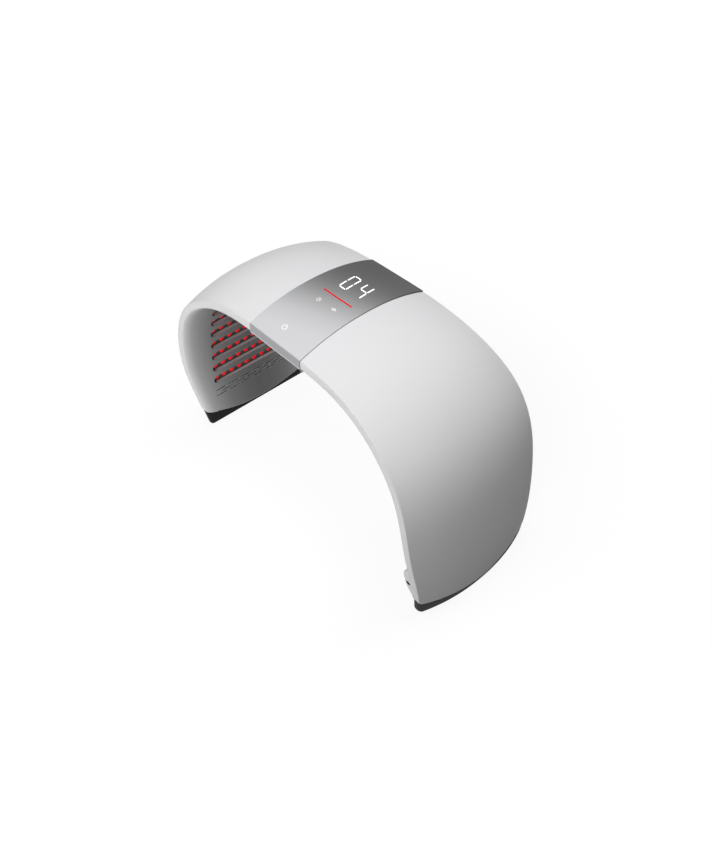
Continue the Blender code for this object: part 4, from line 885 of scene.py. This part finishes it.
def lower_section(sheet, side):
    """liner from the vents to the shell's lower edge"""
    columns = liner_columns()
    start = VENT_START + (VENT_ROWS - 0.5) * VENT_ROW_PITCH
    along = np.concatenate([np.linspace(0.0, 0.97, 14), [0.985, 0.993, 0.997, 1.0]])
    arcs, ends = wing_rows(side, columns, start, along, False)
    y = depths(columns, arcs)
    offset = rim_offset(arcs, y) - rounded(ends - np.abs(arcs), LINER_ROUND)
    tail = place(arcs[-1:], offset[-1:] - LINER_TAIL, y[-1:])
    # the last rows carry a painted highlight along the liner's lower edge
    sheet.grid(np.concatenate([place(arcs, offset, y), tail]), mark=PAINTED_HIGHLIGHT_MARK, first=-5)
    for j in (0, -1):
        tuck(sheet, arcs[:, j], offset[:, j], y[:, j])


def wing_liner(name):
    """inner face of a wing with its slots and vents"""
    side, sheet, columns = SIDES[name], Sheet(), liner_columns()
    seam_section(sheet, side)
    slot_section(sheet, side)
    plain = np.linspace(ROW_LAST + ROW_PITCH / 2, VENT_START - VENT_ROW_PITCH / 2, 4)
    patch(sheet, side * plain, columns, (columns[0], columns[-1]))
    vent_section(sheet, side)
    lower_section(sheet, side)
    item = sheet.build("wing_liner_" + name, LOOKS["liner"])
    settle(item, name + "_wing", "wing_panel_" + name)


def led_floor(name, body, ends, count, node):
    """floor behind the slots, one sheet with a back"""
    last = LED_FRONT_Y + (LED_COUNT - 1) * LED_PITCH
    arcs = np.linspace(*ends, count)[:, None]
    y = np.linspace(LED_FRONT_Y - BOARD_OVER, last + BOARD_OVER, 12)
    top, bottom = place(arcs, LED_LEVEL, y), place(arcs, LED_LEVEL - BOARD_FACE, y)
    settle(skin("led_floor_" + name, top, bottom, LOOKS["floor"]), body, node)


def led_lenses(name, body, rows):
    """a domed lens with a thin flange on each LED"""
    profile = [(LENS_RADIUS * r, FLANGE * h) for r, h in ((1.0, 0.0), (1.0, 0.75), (0.93, 0.95))]
    profile += [(LENS_RADIUS * 0.92 * math.cos(t), FLANGE + (LENS_HEIGHT - FLANGE) * math.sin(t))
                for t in np.radians([8, 22, 38, 54, 70, 82])]
    profile = [(radius, -LED_LEVEL - height) for radius, height in profile]
    sheet = Sheet()
    for arc, count in rows:
        for k in range(count):
            turned(sheet, frame_at(arc, LED_FRONT_Y + k * LED_PITCH), profile, 20)
    settle(sheet.build("led_lenses_" + name, LOOKS["lens"], 60), body)


def foot(name):
    """black foot under a wing"""
    margins = [FOOT_INSET + FOOT_CORNER * v for v in (0.0, 0.03, 0.1, 0.22, 0.4, 0.65, 1.0)]
    columns = margins_to_columns(margins, 30)
    walls = []
    for outer in (True, False):
        tops = np.array([tongue_arc(column, -GAP, outer) for column in columns])
        rows = [tops + distance for distance in (0.0, 0.0002, 0.0005, 0.0009)]
        rows += [tops + (ARC_END - tops) * share for share in (0.25, 0.5, 0.75)]
        rows += [0 * tops + ARC_END - distance for distance in (0.001, 0.0005, 0.0002, 0.0)]
        arcs = np.minimum(np.maximum.accumulate(np.array(rows), 0), ARC_END)
        y = depths(columns, arcs)
        drawn = rounded(margin_of(arcs, y) - FOOT_INSET, FOOT_CORNER)
        lip = rounded(arcs - tops, FOOT_TOP_ROUND) + rounded(ARC_END - arcs, FOOT_BASE_ROUND)
        lip = np.minimum(lip, FOOT_LIP_MOST)
        offset = drawn - swell(arcs, y) + lip if outer else INNER - drawn - lip
        walls.append(place(SIDES[name] * arcs, offset, y))
    item = skin("foot_block_" + name, *walls, LOOKS["rubber"])
    for vertex in item.data.vertices:
        vertex.co.z = max(0.0, vertex.co.z)
    settle(item, name + "_wing", "foot_" + name)


# Inlet

def socket_frame():
    """matrix at the inlet's mouth, with Z into the bump"""
    matrix = frame_at(SOCKET_ARC, float(front_y(SOCKET_ARC)) + BOSS_SET_BACK)
    lowered = matrix @ Matrix.Translation((0, 0, -SOCKET_OFFSET))
    return lowered @ Matrix.Rotation(-math.pi / 2, 4, "X")


def inlet_boss():
    """smooth bump on the right wing's inner rim, bored for the socket"""
    near = BOSS_ROUND * np.array([0.0, 0.02, 0.06, 0.14, 0.28, 0.5, 0.75, 1.0])
    middle = np.linspace(BOSS_ROUND, BOSS_DEPTH - BOSS_ROUND, 6)[1:-1]
    inset = np.concatenate([near, middle, BOSS_DEPTH - near[::-1]])
    arcs = np.linspace(BOSS_ARCS[0], BOSS_ARCS[-1], 60)[1:-1, None]
    y = front_y(arcs) + BOSS_SET_BACK + inset
    share = blend(*BOSS_ARCS[:2], arcs) * (1 - blend(*BOSS_ARCS[2:], arcs))
    height = (BOSS_HEIGHT + BOSS_DIP) * share - BOSS_DIP
    edge = rounded(np.minimum(inset, BOSS_DEPTH - inset), BOSS_ROUND)
    top = INNER + height - edge * height / BOSS_HEIGHT
    low = rim_offset(arcs, y) - BOSS_SINK
    item = skin("inlet_boss", place(arcs, top, y), place(arcs, low, y), LOOKS["shell"])
    cut(item, socket_frame(), circle(SOCKET_RADIUS + GAP, 48), -CUT_PAST, SOCKET_LENGTH)
    smooth(item.data)
    settle(item, "right_wing")


def power_socket():
    """barrel of the inlet with its centre pin"""
    profile = ((SOCKET_PIN * 0.6, PIN_START), (SOCKET_PIN, PIN_START + PIN_TAPER),
               (SOCKET_PIN, SOCKET_DEPTH), (SOCKET_HOLE, SOCKET_DEPTH),
               (SOCKET_HOLE, SOCKET_FACE + MOUTH_BEVEL[1]),
               (SOCKET_HOLE + MOUTH_BEVEL[0], SOCKET_FACE), (SOCKET_RADIUS, SOCKET_FACE),
               (SOCKET_RADIUS, SOCKET_LENGTH))
    sheet = Sheet()
    rings = turned(sheet, socket_frame(), profile, 48)
    sheet.fan(rings[0])
    item = sheet.build("socket_barrel", LOOKS["black"])
    settle(item, "right_wing", "power_socket")


# Display module

def module_cover():
    """top cover with round edges, hollow underneath"""
    columns = margins_to_columns([v - PROUD_FRONT for v in COVER_MARGINS], 30)
    half, near = MODULE_HALF - GAP, np.array(COVER_STEPS)
    arcs = np.concatenate([near - half, np.linspace(-half, half, 16)[2:-2], half - near[::-1]])
    a = np.repeat(arcs[:, None], len(columns), 1)
    y = depths(columns, a)
    top = -swell(a, y) - PROUD
    edge = rounded(margin_of(a, y) + PROUD_FRONT, COVER_RIM_ROUND)
    edge = edge + rounded(half - np.abs(a), COVER_END_ROUND)
    outer, inner = top + np.minimum(edge, COVER_ROUND_MOST), top + SKIN
    for border in (inner[:, :6], inner[:, -6:], inner[:2], inner[-2:]):
        border[:] = INNER - BASE_THICKNESS - GAP
    item = skin("module_top", place(a, outer, y), place(a, inner, y), LOOKS["cover"])
    settle(item, "module", "module_cover")


def module_base():
    """lower cover with three slots and the hinges' recesses"""
    half, low = MODULE_HALF - GAP, INNER - BASE_THICKNESS
    rings, caps, sheet = [], [], Sheet()
    for offset, inset in ((low, BASE_ROUND), (low + BASE_ROUND, 0.0),
                          (INNER - BASE_ROUND, 0.0), (INNER, BASE_ROUND)):
        arcs = np.linspace(-half, half, 9) * (1 - inset / half)
        front = place(arcs, offset, front_y(arcs) - PROUD_FRONT + inset)
        back = place(arcs, offset, back_y(arcs) + PROUD_FRONT - inset)
        rings.append(np.concatenate([front, back[::-1]]))
        caps.append(np.stack([front, back], 1))
    sheet.grid(np.array(rings), wrap=True)
    for cap in (caps[0], caps[-1]):
        sheet.grid(cap)
    item = sheet.build("module_liner", LOOKS["trim"])
    span = (LED_COUNT - 2) * LED_PITCH
    outline = stadium(span + 2 * SLOT_OVER, SLOT_WIDTH)
    for k in (-1, 0, 1):
        matrix = frame_at(k * ROW_PITCH, LED_FRONT_Y + span / 2)
        cut(item, matrix, outline, -INNER - CUT_PAST, -low + CUT_PAST)
    reach, end = LEAF_REACH + GAP, HINGE_LENGTH + GAP
    outline = [(-reach, -GAP), (reach, -GAP), (reach, end), (-reach, end)]
    for side in SIDES.values():
        for start in hinge_starts():
            matrix = frame_at(side * MODULE_HALF, start) @ Matrix.Translation((0, 0, -AXIS_OFFSET))
            cut(item, matrix, outline, -BARREL_RADIUS, AXIS_OFFSET - POCKET_FLOOR)
    smooth(item.data, 30)
    settle(item, "module", "module_base")


def on_cover(points, lift):
    """points on the cover's top surface, lifted by a little"""
    x, y = points.T
    return place(x, -swell(x, y) - PROUD - lift, y)


def ribbon(sheet, left, right, lift):
    """thin raised ribbon between two lines on the cover"""
    sheet.grid(np.stack([on_cover(left, lift), on_cover(right, lift)], 1))
    for line in (left, right):
        sheet.grid(np.stack([on_cover(line, lift), on_cover(line, -RIBBON_SINK)], 1))


def stroke(sheet, start, end, width, pieces=10):
    """round-ended stroke laid on the cover"""
    start, end, radius = np.array(start), np.array(end), width / 2
    length = np.hypot(*(end - start))
    along = (end - start) / length
    across = np.array([-along[1], along[0]])
    turns = np.radians(np.linspace(-90, 0, 6))
    inset, half = radius * (1 + np.sin(turns)), radius * np.cos(turns)
    middle = radius + (length - width) * np.linspace(0, 1, pieces)[1:-1]
    at = np.concatenate([inset, middle, length - inset[::-1]])[:, None]
    half = np.concatenate([half, radius + 0 * middle, half[::-1]])[:, None]
    line = start + along * at
    ribbon(sheet, line + across * half, line - across * half, STROKE_LIFT)


def ring(sheet, centre, radius, width, start, end):
    """ring laid on the cover, or the part of one between two angles in degrees"""
    turns = np.radians(np.linspace(start, end, 40))
    spokes = np.stack([np.cos(turns), np.sin(turns)], 1)
    outer, inner = [np.array(centre) + spokes * (radius + part * width) for part in (0.5, -0.5)]
    ribbon(sheet, outer, inner, RING_LIFT)


def digit(sheet, x0, lit):
    """leaning digit from its lit segments"""
    for name in lit:
        ends = np.array(SEGMENTS[name]) * (DIGIT_WIDTH, DIGIT_HEIGHT / 2)
        trim = (ends[1] - ends[0]) / np.hypot(*(ends[1] - ends[0])) * DIGIT_TRIM
        ends = ends[0] + trim, ends[1] - trim
        stroke(sheet, *[(x0 + x + y * DIGIT_LEAN, DIGIT_Y + y) for x, y in ends], DIGIT_STROKE)


def display():
    """digits, red line and touch marks on the cover"""
    digits, line, marks = Sheet(), Sheet(), Sheet()
    digit(digits, DIGIT_X[0], "abcdef")
    digit(digits, DIGIT_X[1], "bcfg")
    settle(digits.build("lit_digits", LOOKS["digit"]), "module", "digit_display")
    stroke(line, (BAR_X[0], BAR_Y), (BAR_X[1], BAR_Y), BAR_WIDTH, 24)
    item = line.build("red_line", LOOKS["red_bar"])
    settle(item, "module", "status_light_bar")
    for centre, radius, width, start, end in MARK_RINGS:
        ring(marks, centre, radius, width, start, end)
    for (x, y), start, end, width in MARK_STROKES:
        stroke(marks, (x + start[0], y + start[1]), (x + end[0], y + end[1]), width)
    for k, height in enumerate(WAVE_HEIGHTS):
        x, y = WAVE_MARK[0] + (k - 2) * WAVE_PITCH, WAVE_MARK[1]
        stroke(marks, (x, y - height / 2), (x, y + height / 2), WAVE_WIDTH, 4)
    settle(marks.build("touch_marks", LOOKS["mark"]), "module")


# Carried-over nodes

def dress_nodes():
    """materials for the nodes that are shown as they are"""
    for node, item in frame["nodes"].items():
        for starts, look in NODE_LOOKS:
            if node.startswith(starts):
                for slot in item.material_slots:
                    slot.material = LOOKS[look]


# Studio

def aimed(data, place_at, target):
    """camera or light that points at a target"""
    item = add_object(data.name, data)
    item.location = place_at
    direction = Vector(target) - Vector(place_at)
    item.rotation_euler = direction.to_track_quat("-Z", "Y").to_euler()
    return item


def make_camera():
    data = bpy.data.cameras.new("camera")
    data.sensor_width = SENSOR
    data.lens = FOCAL_PIXELS / IMAGE_LONG_SIDE * SENSOR
    data.shift_x, data.shift_y = CAMERA_SHIFT
    data.clip_start = 0.01
    bpy.context.scene.camera = aimed(data, CAMERA_PLACE, CAMERA_TARGET)


def area_light(name, place_at, target, size, power):
    data = bpy.data.lights.new(name, "AREA")
    data.shape = "RECTANGLE"
    data.size, data.size_y = size
    data.energy = power
    aimed(data, place_at, target)


def seen_or_mirrored(tree):
    """1 for rays from the camera and for rays off glossy or clear surfaces"""
    path = new_node(tree, "LightPath").outputs
    total = path["Is Camera Ray"]
    for kind in ("Is Glossy Ray", "Is Transmission Ray"):
        total = new_node(tree, "Math", {0: total, 1: path[kind]}, operation="MAXIMUM").outputs[0]
    return total


def world():
    """white where it is seen, dim where it only gives light"""
    item = bpy.data.worlds.new("studio")
    bpy.context.scene.world = item
    item.use_nodes = True
    tree = item.node_tree
    tree.nodes.clear()
    dim, white = [new_node(tree, "Background", {"Color": (1, 1, 1, 1), "Strength": strength})
                  for strength in (AMBIENT, 1.0)]
    inputs = {"Fac": seen_or_mirrored(tree), 1: dim.outputs[0], 2: white.outputs[0]}
    mix = new_node(tree, "MixShader", inputs)
    new_node(tree, "OutputWorld", {"Surface": mix.outputs[0]})


def floor():
    """plain floor that looks white and takes a faint shadow"""
    mesh = bpy.data.meshes.new("studio_floor")
    far = FLOOR_HALF
    corners = [(x, y, -GAP) for x, y in ((-far, -far), (far, -far), (far, far), (-far, far))]
    mesh.from_pydata(corners, [], [(0, 1, 2, 3)])
    n = Nodes("studio_white", (FLOOR_TONE,) * 3, FLOOR_ROUGHNESS)
    reach = n.node("VectorMath", {0: n.coordinates}, operation="LENGTH").outputs["Value"]
    inputs = {0: seen_or_mirrored(n.tree), 1: n.spread(reach, *FLOOR_WHITE)}
    strength = n.node("Math", inputs, operation="MULTIPLY").outputs[0]
    glow = n.node("Emission", {"Strength": strength}).outputs[0]
    both = n.node("AddShader", {0: n.tree.nodes["Principled BSDF"].outputs[0], 1: glow})
    fill(n.tree, n.tree.nodes["Material Output"], {"Surface": both.outputs[0]})
    mesh.materials.append(n.shade({"Specular IOR Level": 0.0}))
    add_object("studio_floor", mesh)


def studio():
    bpy.context.scene.view_settings.view_transform = "Standard"
    world()
    floor()
    for light in LIGHTS:
        area_light(*light)


make_camera()
for wing, sign in SIDES.items():
    body = wing + "_wing"
    wing_skin(wing)
    wing_liner(wing)
    ends = (ROW_LAST - (ROW_COUNT - 1) * ROW_PITCH - BOARD_OVER, ROW_LAST + BOARD_OVER)
    led_floor(wing, body, [sign * end for end in ends], 80, "led_board_" + wing)
    led_lenses(wing, body, [(sign * arc, count) for arc, count in led_rows()])
    foot(wing)
inlet_boss()
power_socket()
module_cover()
module_base()
led_floor("module", "module", (-MODULE_BOARD_HALF, MODULE_BOARD_HALF), 20, "module_led_board")
led_lenses("module", "module", [(k * ROW_PITCH, LED_COUNT - 1) for k in (-1, 0, 1)])
display()
dress_nodes()
studio()
